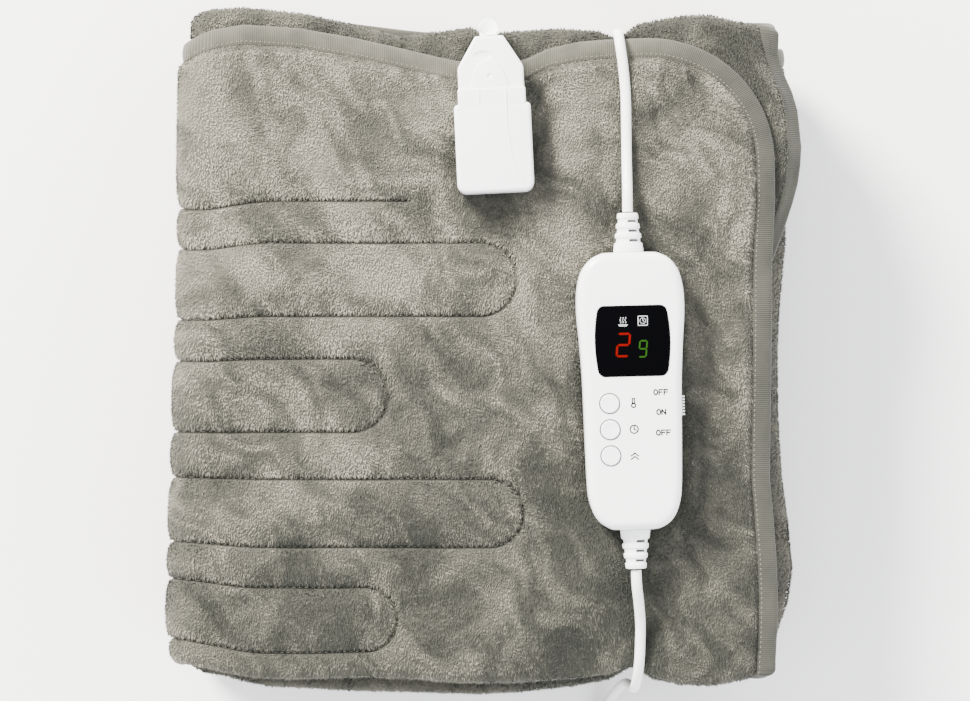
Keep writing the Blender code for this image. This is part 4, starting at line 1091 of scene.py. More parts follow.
@dataclass
class Blanket:
    """The plush cloth with its taped edge, its seams and its pile."""
    shop: Workshop
    plan: FoldPlan
    quilting: Quilting
    presses: tuple[Press, ...]
    hem_half: float = 0.9 * MM
    hem_width: float = 8.4 * MM
    tape_width: float = 8.2 * MM
    tape_half: float = 1.75 * MM
    tape_stitch: float = 2.4 * MM
    thread_radius: float = 0.33 * MM
    thread_lift: float = 0.75 * MM   # how far the seams' stitches lie off the face
    thread_share: float = 0.36   # half a stitch's length, as a share of its pitch
    tape_row: float = 1.3 * MM   # how far inside the tape's edge its stitches lie
    tape_share: float = 0.62     # a tape stitch's length, as a share of its pitch
    tape_start_light: float = 0.45      # how much light the painted shade leaves the tape at the sheet's start; elsewhere it is 1
    contact_shade_width: float = 9 * MM  # how far the painted contact shade reaches beside what lies on the cloth
    # the pale and dark patches, painted light and shade of the leaning nap: their size, that of creases
    # in them, how far they bend, and over what size
    patch_size: float = 25 * MM
    crease_size: float = 7 * MM
    drift: float = 16 * MM
    drift_size: float = 38 * MM
    # how pale even pile looks, and how much the painted light and shade of the patches, the painted
    # shade in creases and the painted contact shade beside what lies on the cloth change that
    plain_tone: float = 0.56
    nap_light_tone: float = 0.34
    crease_shade_tone: float = 0.16
    contact_shade_tone: float = 0.3
    # a painted light gradient over the face: how the tone changes at its start, along it, and across it
    # for each millimetre
    painted_face_light: tuple = (0.12, 0.08, 0.0014)
    # the nap: the sizes over which tufts clump, turn (widely and finely) and lean
    clump_size: float = 1.9 * MM
    turn_sizes: tuple = (26 * MM, 4 * MM)
    lean_size: float = 9 * MM
    tuft_height: float = 1.1 * MM
    tuft_radius: float = 0.43 * MM

    def lines(self) -> tuple[Array, Array]:
        """Where the sheet's mesh has its columns and rows.

        Returns:
            The places of its columns and of its rows.
        """
        plan = self.plan
        turn, layer_turn = plan.run_turn / MM, plan.layer_turn / MM
        first = plan.first_turn / MM
        run = (plan.right_x - plan.left_x) / MM
        hem = [(0, 8.4, 2.8), (8.4, 14, 1.4)]
        columns = [*hem, (14, 119, 3.2), (119, 205, 2.0), (205, first, 4),
                   (first, first + turn, turn / 11)]
        at = first + turn
        for _ in range(4):
            columns += [(at, at + run, 25), (at + run, at + run + turn, turn / 8)]
            at += run + turn
        last = plan.length / MM
        columns += [(at, last - 12, 25), (last - 12, last, 3)]
        near, far = plan.near_fold / MM, plan.far_fold / MM
        under, width = plan.under_fold / MM, plan.width / MM
        rows = [*hem, (14, near, 2.2), (near, near + layer_turn, 0.9),
                (near + layer_turn, far - 112, 26), (far - 112, far, 9),
                (far, far + layer_turn, 0.9), (far + layer_turn, under, 24),
                (under, under + layer_turn, 0.9), (under + layer_turn, width - 12, 25),
                (width - 12, width, 3)]
        places, beside = spaced(*rows), np.array([-1.0, 0.0, 1.0]) * MM
        for seam in self.quilting.rows():
            places = np.concatenate([places[np.abs(places - seam) > 1.25 * MM], seam + beside])
        return spaced(*columns), np.sort(places)

    def face(self, u: Array, v: Array, side: Array, lift: float = 0.0) -> Array:
        """Points on the cloth's faces, folded and pressed.

        Args:
            u, v: places in the flat cloth.
            side: +1 for the stitched face, -1 for the other one.
            lift: how far off the face.

        Returns:
            An array of x, y, z rows.
        """
        plan = self.plan
        edge = np.minimum(np.minimum(u, plan.length - u), np.minimum(v, plan.width - v))
        pile = soft_step((edge - self.hem_width) / (3.2 * MM))
        half = self.hem_half + (plan.thickness / 2 - self.hem_half) * pile
        relief = self.quilting.relief(u, v) * pile * (side > 0)
        round_u, round_v = plan.round_corners(u, v)
        return self.press(plan.place(round_u, round_v, side * (half + lift) + relief))

    def press(self, points: Array) -> Array:
        """Moves points of the top packet under what lies on it.

        Args:
            points: an array of x, y, z rows.

        Returns:
            The same rows, moved.
        """
        x, y, z = points.T
        height = self.plan.top * self.plan.swell(x, y) + self.plan.wrinkle(x, y) + self.quilting.rise
        share = soft_step((z - 0.4 * self.plan.top) / (0.5 * self.plan.top))
        for press in self.presses:
            z = z - share * press.act(x, y, height)
        return np.stack([x, y, np.maximum(z, 0.0)], axis=1)

    def tone(self, u: Array, v: Array) -> Array:
        """How pale the pile looks, with painted light and shade in it: the nap's pale and dark patches,
        a gradient over the face, shade in the creases and contact shade beside what lies on the cloth.

        Args:
            u, v: places in the flat cloth.

        Returns:
            A tone of about 0 to 1 for each place.
        """
        flat = np.stack([u, v], axis=1)
        # the pale and dark patches of painted nap light and shade, drawn out in streaks
        drift = np.stack([leaning(flat + far, self.drift_size, 2) for far in (3.3, 5.9)], axis=1)
        streaks = (flat + self.drift * drift) @ np.array([[0.80, -0.27], [0.60, 0.36]])
        patches = leaning(streaks, self.patch_size, 3)
        creases = leaning(streaks + 1.7, self.crease_size, 3)
        # painted light gradient: paler toward the left and toward the bound edge, darker toward the
        # right and the near fold
        across = np.minimum(u, self.plan.first_turn) / self.plan.first_turn
        start, along, slope = self.painted_face_light
        painted_face_gradient = start + along * across - slope * np.minimum(v, self.plan.near_fold) / MM
        # painted shade in the top's creases
        creased = self.plan.valley(self.plan.bound_x - u, self.plan.bound_y - v)
        x, y, z = self.plan.place(u, v, np.zeros_like(u)).T
        # painted contact shade on the top beside the controller, the connector and the cords
        contact_shade = np.zeros_like(u)
        for press in self.presses:
            outside, _ = press.beside(x, y)
            contact_shade = np.maximum(contact_shade, np.exp(-(outside / self.contact_shade_width)))
        contact_shade = contact_shade * (z > 0.85 * self.plan.top)
        # painted light and shade of the leaning nap, in patches and creases of the pile
        painted_nap_light = np.tanh(1.1 * patches + 0.9 * creases)
        return (self.plain_tone + painted_face_gradient - self.contact_shade_tone * contact_shade + self.nap_light_tone * painted_nap_light
                - self.crease_shade_tone * creased)

    def build_cloth(self) -> Piece:
        """Makes the cloth itself, all its layers in one sheet.

        Returns:
            The cloth's object.
        """
        columns, rows = self.lines()
        mesh = grid_mesh(columns, rows)
        made = bmesh.ops.extrude_face_region(mesh, geom=mesh.faces[:], use_keep_orig=True)
        for item in made["geom"]:
            if isinstance(item, bmesh.types.BMVert):
                item.co.z = -1.0
        for vert in mesh.verts:
            vert.co.z = -1.0 if vert.co.z < -0.5 else 1.0
        bmesh.ops.recalc_face_normals(mesh, faces=mesh.faces)
        data = bpy.data.meshes.new("cloth")
        mesh.to_mesh(data)
        mesh.free()
        u, v, side = read_points(data).T
        relief = self.quilting.relief(u, v) * (side > 0)
        # the hollow attribute says where painted shade darkens the stitched grooves
        write_values(data, "hollow", np.clip(-relief / self.quilting.depth * 1.6, 0, 1))
        write_values(data, "tone", self.tone(u, v))
        write_points(data, self.face(u, v, side))
        return self.shop.add_data("cloth", data, Material.PLUSH, replaces=("blanket",), angle=180)

    def edge_path(self) -> tuple[Array, Array, Array, Array]:
        """The cloth's edge, once round.

        Returns:
            The edge's u and v, its inward directions and the distance walked along it.
        """
        plan = self.plan
        columns, rows = self.lines()
        finer = np.unique(np.concatenate([rows, spaced((0, plan.near_fold / MM, 3.0))]))
        start = np.stack([columns, np.zeros_like(columns)], axis=1)
        right = np.stack([np.full_like(finer, plan.length), finer], axis=1)
        end = np.stack([columns[::-1], np.full_like(columns, plan.width)], axis=1)
        left = np.stack([np.zeros_like(finer), finer[::-1]], axis=1)
        edge = np.concatenate([start[:-1], right[:-1], end[:-1], left])
        u, v = plan.round_corners(edge[:, 0], edge[:, 1])
        middle_u = np.clip(u, plan.corner, plan.length - plan.corner)
        middle_v = np.clip(v, plan.corner, plan.width - plan.corner)
        way = np.stack([middle_u - u, middle_v - v], axis=1)
        way /= np.linalg.norm(way, axis=1)[:, None]
        walked = np.concatenate([[0], np.cumsum(np.hypot(np.diff(u), np.diff(v)))])
        return u, v, way, walked

    def build_tape(self) -> None:
        """Makes the tape that is folded round the cloth's edge."""
        u, v, way, walked = self.edge_path()
        wide, half, thin = self.tape_width, self.tape_half, self.hem_half + 0.1 * MM
        section = np.array([(wide, thin), (wide + 0.1 * MM, half - 0.4 * MM), (wide - 0.7 * MM, half),
                            (wide * 0.5, half + 0.35 * MM), (1.4 * MM, half), (0, half * 0.75),
                            (-0.7 * MM, half * 0.45), (-0.95 * MM, 0), (-0.7 * MM, -half * 0.45),
                            (0, -half * 0.75), (1.4 * MM, -half), (wide * 0.5, -half - 0.35 * MM),
                            (wide - 0.7 * MM, -half), (wide + 0.1 * MM, -half + 0.4 * MM),
                            (wide, -thin), (0.3 * MM, -thin), (0.3 * MM, thin), (wide, thin)])
        around = np.concatenate([[0], np.cumsum(np.linalg.norm(np.diff(section, axis=0), axis=1))])
        mesh = grid_mesh(walked, around)
        places = []
        for vert in mesh.verts:
            k = int(np.abs(walked - vert.co.x).argmin())
            depth, w = section[int(np.abs(around - vert.co.y).argmin())]
            places.append((u[k] + way[k][0] * depth, v[k] + way[k][1] * depth, w))
        u, v, w = np.array(places).T
        folded = self.press(self.plan.place(u, v, w))
        # painted shade along the tape near the sheet's start, at the right side of the stack
        tape_light = mesh.verts.layers.float.new("tape_light")
        shares = self.tape_start_light + (1 - self.tape_start_light) * soft_step((u - 15 * MM) / (60 * MM))
        for vert, place, share in zip(mesh.verts, folded, shares):
            vert.co = place
            vert[tape_light] = share
        bmesh.ops.remove_doubles(mesh, verts=mesh.verts, dist=0.01 * MM)
        self.shop.add("edge_tape", outward(mesh), Material.TAPE, replaces=("binding",), angle=60)

    def sew(self, name: str, starts: Array, ends: Array, kind: Material) -> None:
        """Makes the stitches of one kind on the top face.

        Args:
            name: the piece's name.
            starts, ends: both ends of each stitch, as x, y, z rows.
            kind: the thread's finish.
        """
        across = unit(np.cross(ends - starts, (0, 0, 1.0)))
        up = np.tile((0, 0, 1.0), (len(across), 1))
        template = bmesh.new()
        bmesh.ops.create_icosphere(template, subdivisions=1, radius=1.0)
        points, faces = arrays_of(template)
        length = (ends - starts) / 2
        copies = (((starts + ends) / 2)[:, None, :]
                  + points[None, :, 0:1] * length[:, None, :]
                  + points[None, :, 1:2] * across[:, None, :] * self.thread_radius
                  + points[None, :, 2:3] * up[:, None, :] * self.thread_radius)
        self.shop.add_data(name, joined(name, copies, faces), kind, slot="plush", angle=180)

    def build_threads(self) -> None:
        """Makes the stitches of the seams and those that hold the tape."""
        starts, ends = [], []
        for seam in self.quilting.seams():
            middle = (seam[1:] + seam[:-1]) / 2
            step = (seam[1:] - seam[:-1]) * self.thread_share
            starts.append(middle - step)
            ends.append(middle + step)
        places = []
        for flat in (np.concatenate(starts), np.concatenate(ends)):
            u, v = self.plan.bound_x - flat[:, 0], self.plan.bound_y - flat[:, 1]
            places.append(self.face(u, v, np.ones_like(u), self.thread_lift))
        self.sew("stitches", *places, Material.THREAD)
        u, v, way, walked = self.edge_path()
        at = np.arange(0, walked[-1], self.tape_stitch)
        row = self.tape_width - self.tape_row
        places = []
        for share in (0.0, self.tape_share):
            along = at + share * self.tape_stitch
            inward = [np.interp(along, walked, way[:, k]) for k in (0, 1)]
            edge_u = np.interp(along, walked, u) + row * inward[0]
            edge_v = np.interp(along, walked, v) + row * inward[1]
            places.append(self.plan.place(edge_u, edge_v,
                                          np.full_like(edge_u, self.tape_half + 0.05 * MM)))
        seen = (places[0][:, 2] > 0.9 * self.plan.top) & (places[1][:, 2] > 0.9 * self.plan.top)
        self.sew("tape_stitches", self.press(places[0][seen]), self.press(places[1][seen]),
                 Material.EDGE_THREAD)

    def seam_gap(self, u: Array, v: Array, side: Array) -> Array:
        """How tall the pile stands at each place: low on a seam, 1 away from it."""
        away = self.quilting.seam_distance(*self.quilting.laid(u, v))
        return 1 - 0.85 * (side > 0) * np.exp(-(away / (0.85 * MM)) ** 4)

    def patches(self) -> tuple[tuple[str, tuple, int, int], ...]:
        """Says which parts of the cloth carry modelled pile.

        Returns:
            A name, stretches, a count of tufts and a seed for each of them.
        """
        plan = self.plan
        hem = self.hem_width - 0.6 * MM
        past_left = plan.first_turn + 0.9 * plan.run_turn
        near = plan.near_fold + plan.layer_turn
        far = plan.far_fold
        third = near / 3
        right_turn = plan.first_turn + plan.run_turn + plan.right_x - plan.left_x
        return (
            ("pile_far", ((hem, past_left, hem, 0.96 * third, 1),), 46000, 0),
            ("pile_middle", ((hem, past_left, 0.96 * third, 1.98 * third, 1),), 46000, 1),
            ("pile_near", ((hem, past_left, 1.98 * third, near, 1),), 46000, 2),
            ("pile_folds", ((hem, past_left, far - 40 * MM, far + plan.layer_turn, -1),
                            (hem, past_left, plan.under_fold - 12 * MM,
                             plan.under_fold + plan.layer_turn, 1),
                            (hem, 34 * MM, near + 60 * MM, far - 40 * MM, -1),
                            (right_turn, right_turn + plan.run_turn,
                             plan.under_fold + plan.layer_turn, plan.width - hem, 1)), 48500, 3),
        )

    def uncovered(self, flat: Array) -> Array:
        """Leaves out the places that lie under the controller, the socket or the plug.

        Args:
            flat: an array of u, v, side rows.

        Returns:
            The rows that are left.
        """
        u, v, side = flat.T
        x, y, z = self.plan.place(u, v, side * self.plan.thickness / 2).T
        hidden = np.zeros(len(u), dtype=bool)
        for press in self.presses[:3]:
            outside, _ = press.beside(x, y)
            hidden |= (outside <= 0) & (z > 0.9 * self.plan.top)
        return flat[~hidden]

    @staticmethod
    def scattered(stretches: tuple, tufts: int, random: np.random.RandomState) -> Array:
        """Strews places over stretches of the cloth.

        Args:
            stretches: the start and end in u and in v of each, and its side.
            tufts: how many places there are in all.
            random: where the unevenness comes from.

        Returns:
            An array of u, v, side rows.
        """
        uneven = 1.6     # how far places stray, in steps of the even grid
        sizes = [(b - a) * (d - c) for a, b, c, d, _ in stretches]
        places = []
        for (a, b, c, d, side), size in zip(stretches, sizes):
            count = int(tufts * size / sum(sizes))
            wide = max(1, int(math.sqrt(count * (b - a) / (d - c))))
            tall = max(1, count // wide)
            column, row = np.meshgrid((np.arange(wide) + 0.5) / wide, (np.arange(tall) + 0.5) / tall)
            column = column.ravel() + (random.rand(wide * tall) - 0.5) / wide * uneven
            row = row.ravel() + (random.rand(wide * tall) - 0.5) / tall * uneven
            places.append(np.stack([a + column * (b - a), c + row * (d - c),
                                    np.full(wide * tall, side)], axis=1))
        return np.concatenate(places)

    def rooted(self, u: Array, v: Array,
               side: Array) -> tuple[Array, Array, Array, Array]:
        """Where tufts stand, and how the cloth lies there.

        Args:
            u, v: places in the flat cloth.
            side: +1 for the stitched face, -1 for the other one.

        Returns:
            Their roots, and the directions along the cloth, across it and out of it.
        """
        step, sunk = 0.4 * MM, -0.25 * MM
        root = self.face(u, v, side, sunk)
        along = self.face(u + step, v, side, sunk) - root
        across = self.face(u, v + step, side, sunk) - root
        normal = unit(np.cross(along, across) * side[:, None])
        round_u, round_v = self.plan.round_corners(u, v)
        outside = (self.plan.place(round_u, round_v, side * 2 * MM)
                   - self.plan.place(round_u, round_v, 0 * side))
        normal *= np.sign(np.sum(normal * outside, axis=1))[:, None]
        along = unit(along)
        return root, along, np.cross(normal, along), normal

    def build_pile(self) -> None:
        """Makes the pile's tufts, which lean over in patches as the nap does."""
        template = bmesh.new()
        bmesh.ops.create_cone(template, cap_ends=True, segments=3, radius1=1.0, radius2=0.0,
                              depth=1.0)
        points, faces = arrays_of(template)
        radius = self.tuft_radius
        for name, stretches, tufts, seed in self.patches():
            random = np.random.RandomState(seed)
            u, v, side = self.uncovered(self.scattered(stretches, tufts, random)).T
            root, along, across, normal = self.rooted(u, v, side)
            flat = np.stack([u, v], axis=1)
            clump = leaning(flat + 0.91, self.clump_size, 2)
            swirl = (math.pi / 2 + leaning(flat + 0.31, self.turn_sizes[0], 2) * 1.6
                     + 1.1 * leaning(flat + 2.3, self.turn_sizes[1], 2)
                     + random.randn(len(u)) * 0.2)
            lean = 0.9 + 0.4 * leaning(flat + 0.77, self.lean_size, 2)
            tip = (normal + (along * np.cos(swirl)[:, None] + across * np.sin(swirl)[:, None])
                   * lean[:, None])
            away = self.seam_gap(u, v, side)
            scale = (1 + 0.3 * clump + 0.12 * random.randn(len(u)).clip(-2, 2)) * away
            height = (self.tuft_height * scale)[:, None]
            copies = (root[:, None, :]
                      + points[None, :, 0:1] * along[:, None, :] * radius
                      + points[None, :, 1:2] * across[:, None, :] * radius
                      + (points[None, :, 2:3] + 0.5) * (tip * height)[:, None, :])
            data = joined(name, copies, faces)
            tone = np.clip(self.tone(u, v) + 0.13 * clump + 0.045 * random.randn(len(u)), 0, 1)
            # painted shade on the tufts beside the seams
            tone = tone - 0.25 * (1 - away)
            write_values(data, "tone", np.repeat(tone, len(points)))
            self.shop.add_data(name, data, Material.PILE, slot="plush", angle=30)

    def build(self) -> None:
        """Builds and dresses the whole blanket."""
        cloth = self.build_cloth()
        self.build_tape()
        self.build_threads()
        self.build_pile()


def arrays_of(mesh: Shape) -> tuple[Array, Array]:
    """Reads a small mesh, which is freed.

    Args:
        mesh: the mesh.

    Returns:
        Its points and its triangles.
    """
    bmesh.ops.triangulate(mesh, faces=mesh.faces)
    mesh.verts.index_update()
    points = np.array([vert.co[:] for vert in mesh.verts])
    faces = np.array([[vert.index for vert in face.verts] for face in mesh.faces])
    mesh.free()
    return points, faces


def joined(name: str, copies: Array, faces: Array) -> bpy.types.Mesh:
    """Joins many copies of a small shape in one mesh.

    Args:
        name: the mesh's name.
        copies: the points of each copy, as an array of copies, points and x, y, z.
        faces: the triangles of one copy.

    Returns:
        The mesh.
    """
    count, size, _ = copies.shape
    corners = (faces[None, :, :] + (np.arange(count) * size)[:, None, None]).reshape(-1)
    data = bpy.data.meshes.new(name)
    data.vertices.add(count * size)
    data.vertices.foreach_set("co", copies.reshape(-1))
    data.loops.add(len(corners))
    data.loops.foreach_set("vertex_index", corners.astype(np.int32))
    data.polygons.add(len(corners) // 3)
    data.polygons.foreach_set("loop_start", np.arange(0, len(corners), 3, dtype=np.int32))
    data.update(calc_edges=True)
    return data


# ---------------------------------------------------------------- cords

def flowing(route: Array, spacing: float) -> Array:
    """Draws a smooth curve through a route's points.

    Args:
        route: the points, as x, y, z rows.
        spacing: how far apart the curve's own points are.

    Returns:
        Evenly spaced points of the curve.
    """
    before = np.concatenate([[2 * route[0] - route[1]], route[:-2]])
    start, end = route[:-1], route[1:]
    after = np.concatenate([route[2:], [2 * route[-1] - route[-2]]])
    t = (np.arange(24) / 24)[None, :, None]
    b, s, e, a = (part[:, None, :] for part in (before, start, end, after))
    dense = 0.5 * (2 * s + (e - b) * t + (2 * b - 5 * s + 4 * e - a) * t ** 2
                   + (3 * s - b - 3 * e + a) * t ** 3)
    return resampled(np.concatenate([dense.reshape(-1, 3), route[-1:]]), spacing)


@dataclass
class Cords:
    """The two cords: from the plug to the controller, and on to the mains plug."""
    shop: Workshop
    diameter: float = 5.0 * MM
    coil_centre: tuple[float, float] = (70 * MM, -232 * MM)
    coil_radii: tuple[float, ...] = (32.75 * MM, 27.5 * MM, 22.25 * MM)
    coil_lift: float = 1.35 * MM
    coil_pitch: float = 5.15 * MM
    tie_width: float = 8 * MM
    tie_reach: float = 8.45 * MM     # half the width of its loop
    tie_gap: float = 0.55 * MM       # over and under the coil
    tie_thickness: float = 0.8 * MM
    link: tuple = (
        (1.6, 154.95, 95.3), (1.5, 155, 86), (1.2, 155, 72), (0.8, 155, 56), (0.6, 155.1, 40),
        (0.6, 155.3, 26), (3.2, 155.5, 13.6), (9.8, 155.6, 5.4), (19.5, 155.5, 2.7),
        (32, 155.3, 2.6), (44.5, 155.0, 2.7), (54.5, 154.6, 5.4), (61.3, 154.0, 13.6),
        (63.9, 153.4, 26), (64.0, 152.9, 40), (63.9, 152.8, 58), (63.9, 152.8, 74),
        (63.9, 152.8, 86), (64.0, 152.6, 92), (64.4, 150.1, 97), (65.0, 145.2, 99.8),
        (65.9, 139, 100.2), (66.9, 130, 99.8), (67.5, 121, 99.9), (67.7, 108, 100.4),
        (67.8, 95, 101.6), (67.9, 84, 104.6), (67.9, 75.5, 108.3), (67.93, 66.1, 108.95))
    mains: tuple = (
        (72.07, -104.8, 108.95), (72.5, -112.5, 108.3), (73.7, -121.5, 103.6), (74.6, -131, 99.0),
        (74.6, -140, 97.0), (74.3, -148.5, 95.6), (73.7, -156.2, 91.4), (73.0, -161.8, 83.5),
        (72.5, -164.4, 73.5), (72.0, -165.2, 60), (71.4, -165.6, 45), (70.4, -166.4, 31),
        (68.2, -169.6, 17.5), (63.6, -176.6, 8.2), (56.4, -185.6, 4.8), (48.4, -194.4, 4.1),
        (42.2, -204.2, 3.9), (38.6, -215.5, 3.85))
    tail: tuple = (
        (84.0, -254.8, 21.6), (89.2, -259.4, 21.0), (94.4, -264.6, 13.6), (99.6, -266.6, 6.0),
        (107, -264.8, 3.2), (115.4, -261.8, 3.6), (122.2, -256.2, 5.9), (124.9, -249.4, 7.1),
        (124.9, -242.6, 7.1))

    def link_line(self) -> Array:
        """The middle line of the cord from the plug to the controller."""
        return flowing(np.array(self.link) * MM, 2 * MM)

    def mains_line(self) -> Array:
        """Draws the middle line of the mains cord, with its coil.

        Returns:
            The line's points.
        """
        turns = []
        start, per_turn = math.pi, 48
        columns = self._columns()
        for turn, (radius, level) in enumerate(columns[:-1]):
            next_radius, next_level = columns[turn + 1]
            for step in range(per_turn):
                share = step / per_turn
                ease = float(soft_step(np.array((share - 0.80) / 0.20)))
                angle = start + 2 * math.pi * share
                r = radius + (next_radius - radius) * ease
                z = level + (next_level - level) * ease
                turns.append((self.coil_centre[0] + r * math.cos(angle),
                              self.coil_centre[1] + r * math.sin(angle), z))
        radius, level = columns[-1]
        for step in range(per_turn // 4):
            angle = start + 2 * math.pi * step / per_turn
            turns.append((self.coil_centre[0] + radius * math.cos(angle),
                          self.coil_centre[1] + radius * math.sin(angle), level))
        route = np.concatenate([np.array(self.mains) * MM, np.array(turns), np.array(self.tail) * MM])
        return flowing(route, 1.8 * MM)

    def _columns(self) -> list[tuple[float, float]]:
        """Lays out the coil's turns in the order they are wound.

        Returns:
            The radius and height of each turn.
        """
        found = []
        for layer in range(3):
            radii = self.coil_radii if layer % 2 == 0 else self.coil_radii[::-1]
            height = self.coil_lift + self.diameter / 2 + layer * self.coil_pitch
            found += [(radius, height) for radius in radii]
        return found + [(self.coil_radii[-1], found[-1][1])]

    def tube(self, name: str, line: Array, replaces: tuple[str, ...]) -> Piece:
        """Makes a cord along a line.

        Args:
            name: the piece's name.
            line: the points of its middle line.
            replaces: the CAD nodes it stands for.

        Returns:
            The cord's object.
        """
        curve = bpy.data.curves.new(name, "CURVE")
        curve.dimensions = "3D"
        curve.bevel_depth = self.diameter / 2
        curve.bevel_resolution = 4
        curve.use_fill_caps = True
        spline = curve.splines.new("POLY")
        spline.points.add(len(line) - 1)
        for point, place in zip(spline.points, line):
            point.co = (*place, 1.0)
        return self.shop.add_data(name, curve, Material.CORD, replaces=replaces)

    def build_tie(self) -> Piece:
        """Makes the soft band round the coil.

        Returns:
            The tie's object.
        """
        middle = self.coil_radii[1]
        low = self.coil_lift - self.tie_gap
        high = self.coil_lift + 3 * self.coil_pitch + self.tie_gap
        squareness, sides = 0.35, 40
        start_y = self.coil_centre[1] - self.tie_width / 2
        mesh, ring = bmesh.new(), []
        for k in range(sides):
            angle = 2 * math.pi * k / sides
            c, s = math.cos(angle), math.sin(angle)
            x = math.copysign(abs(c) ** squareness, c) * self.tie_reach
            z = math.copysign(abs(s) ** squareness, s) * (high - low) / 2
            ring.append(mesh.verts.new((self.coil_centre[0] + middle + x, start_y,
                                        (low + high) / 2 + z)))
        edges = [mesh.edges.new((ring[k - 1], ring[k])) for k in range(sides)]
        moved = bmesh.ops.extrude_edge_only(mesh, edges=edges)
        verts = [item for item in moved["geom"] if isinstance(item, bmesh.types.BMVert)]
        bmesh.ops.translate(mesh, vec=(0, self.tie_width, 0), verts=verts)
        bmesh.ops.recalc_face_normals(mesh, faces=mesh.faces)
        bmesh.ops.solidify(mesh, geom=mesh.faces[:], thickness=self.tie_thickness)
        bmesh.ops.recalc_face_normals(mesh, faces=mesh.faces)
        return self.shop.add("cord_tie", mesh, Material.TIE, replaces=("coil_tie",))

    def build(self, mains_pieces: list[Piece]) -> None:
        """Builds both cords and the coil's tie.

        Args:
            mains_pieces: the mains plug and its pins, which are on the cord's far end; not used.
        """
        link = self.link_line()
        piece = self.tube("plug_cord", link, ("lead_link",))
        mains = self.mains_line()
        piece = self.tube("mains_cord", mains, ("lead_mains", "lead_coil", "lead_tail"))
        tie = self.build_tie()


@dataclass
class MainsPlug:
    """The flat two-pin mains plug, with half-sleeved pins."""
    shop: Workshop
    centre: tuple[float, float, float] = (125 * MM, -224 * MM, 0.2 * MM)
    width: float = 35 * MM
    length: float = 36 * MM
    height: float = 13.8 * MM
    pin_spacing: float = 18.6 * MM

    def build(self) -> list[Piece]:
        """Builds the plug's body and pins.

        Returns:
            The body's object and those of the pins.
        """
        half, end, neck, shoulder = self.width / 2, self.length / 2, 5 * MM, -self.length / 6
        body = prism(rounded([(-neck, -end, MM), (neck, -end, MM), (half, shoulder, 5 * MM),
                              (half, end, 2 * MM), (-half, end, 2 * MM), (-half, shoulder, 5 * MM)], 8),
                     0, self.height)
        round_rim(body, self.height, 2.5 * MM, 5)
        round_rim(body, 0, 1.2 * MM, 3)
        shifted(body, *self.centre)
        pieces = [self.shop.add("mains_plug_body", body, Material.SOFT, replaces=("mains_plug",))]
        for side, name in ((-1, "left"), (1, "right")):
            x = self.centre[0] + side * self.pin_spacing / 2
            start = self.centre[1] + end + 0.3 * MM
            z = self.centre[2] + self.height / 2
            sleeve = lathe(mm((0, 0), (1.9, 0), (1.9, 9.8), (1.7, 10), (0, 10)))
            tip = lathe(mm((0, 10), (2, 10), (2, 17.6), (1.5, 18.7), (0.7, 19), (0, 19)))
            for mesh in (sleeve, tip):
                bmesh.ops.rotate(mesh, cent=(0, 0, 0), matrix=Matrix.Rotation(-math.pi / 2, 3, "X"),
                                 verts=mesh.verts)
                shifted(mesh, x, start, z)
            pieces.append(self.shop.add("pin_sleeve_" + name, sleeve, Material.SOFT, slot="plated_pin"))
            pieces.append(self.shop.add("pin_tip_" + name, tip, Material.PIN,
                                        replaces=("mains_pin_" + name,)))
        return pieces


# ---------------------------------------------------------------- shapes of the hard pieces

def mm(*points: tuple[float, ...]) -> list[tuple[float, ...]]:
    """Points that are given in millimetres, in metres."""
    return [tuple(value * MM for value in point) for point in points]


def shifted(mesh: Shape, x: float, y: float, z: float) -> Shape:
    """Moves a whole shape."""
    bmesh.ops.translate(mesh, vec=(x, y, z), verts=mesh.verts)
    return mesh


def outward(mesh: Shape) -> Shape:
    """Turns the faces of a closed shape outward.

    Args:
        mesh: the shape.

    Returns:
        The same shape.
    """
    bmesh.ops.recalc_face_normals(mesh, faces=mesh.faces)
    if mesh.calc_volume(signed=True) < 0:
        bmesh.ops.reverse_faces(mesh, faces=mesh.faces)
    return mesh


def bevelled(mesh: Shape, edges: list[bmesh.types.BMEdge], radius: float,
             segments: int) -> Shape:
    """Rounds some edges of a shape.

    Args:
        mesh: the shape.
        edges: the edges to round.
        radius: how round they become.
        segments: how many steps the round has.

    Returns:
        The same shape.
    """
    bmesh.ops.bevel(mesh, geom=edges, offset=radius, offset_type="OFFSET", segments=segments,
                    profile=0.5, affect="EDGES", material=-1, clamp_overlap=True)
    return mesh


def round_rim(mesh: Shape, height: float, radius: float,
              segments: int) -> Shape:
    """Rounds the edges that lie at this height."""
    rim = [e for e in mesh.edges if all(abs(v.co.z - height) < 1e-6 for v in e.verts)]
    return bevelled(mesh, rim, radius, segments)


def rounded(corners: list[tuple[float, float, float]], steps: int = 8) -> list[Vector]:
    """Rounds the corners of a polygon.

    Args:
        corners: each corner's x and y, and its radius.
        steps: how many edges each round corner gets.

    Returns:
        The polygon's points, in order.
    """
    outline = []
    for k, (x, y, radius) in enumerate(corners):
        here = Vector((x, y))
        if radius <= 0:
            outline.append(here)
            continue
        before = (Vector(corners[k - 1][:2]) - here).normalized()
        after = (Vector(corners[(k + 1) % len(corners)][:2]) - here).normalized()
        half_angle = before.angle(after) / 2
        centre = here + (before + after).normalized() * radius / math.sin(half_angle)
        start = here + before * radius / math.tan(half_angle) - centre
        sweep = start.angle_signed(here + after * radius / math.tan(half_angle) - centre)
        for step in range(steps + 1):
            outline.append(centre + Matrix.Rotation(-sweep * step / steps, 2) @ start)
    return outline


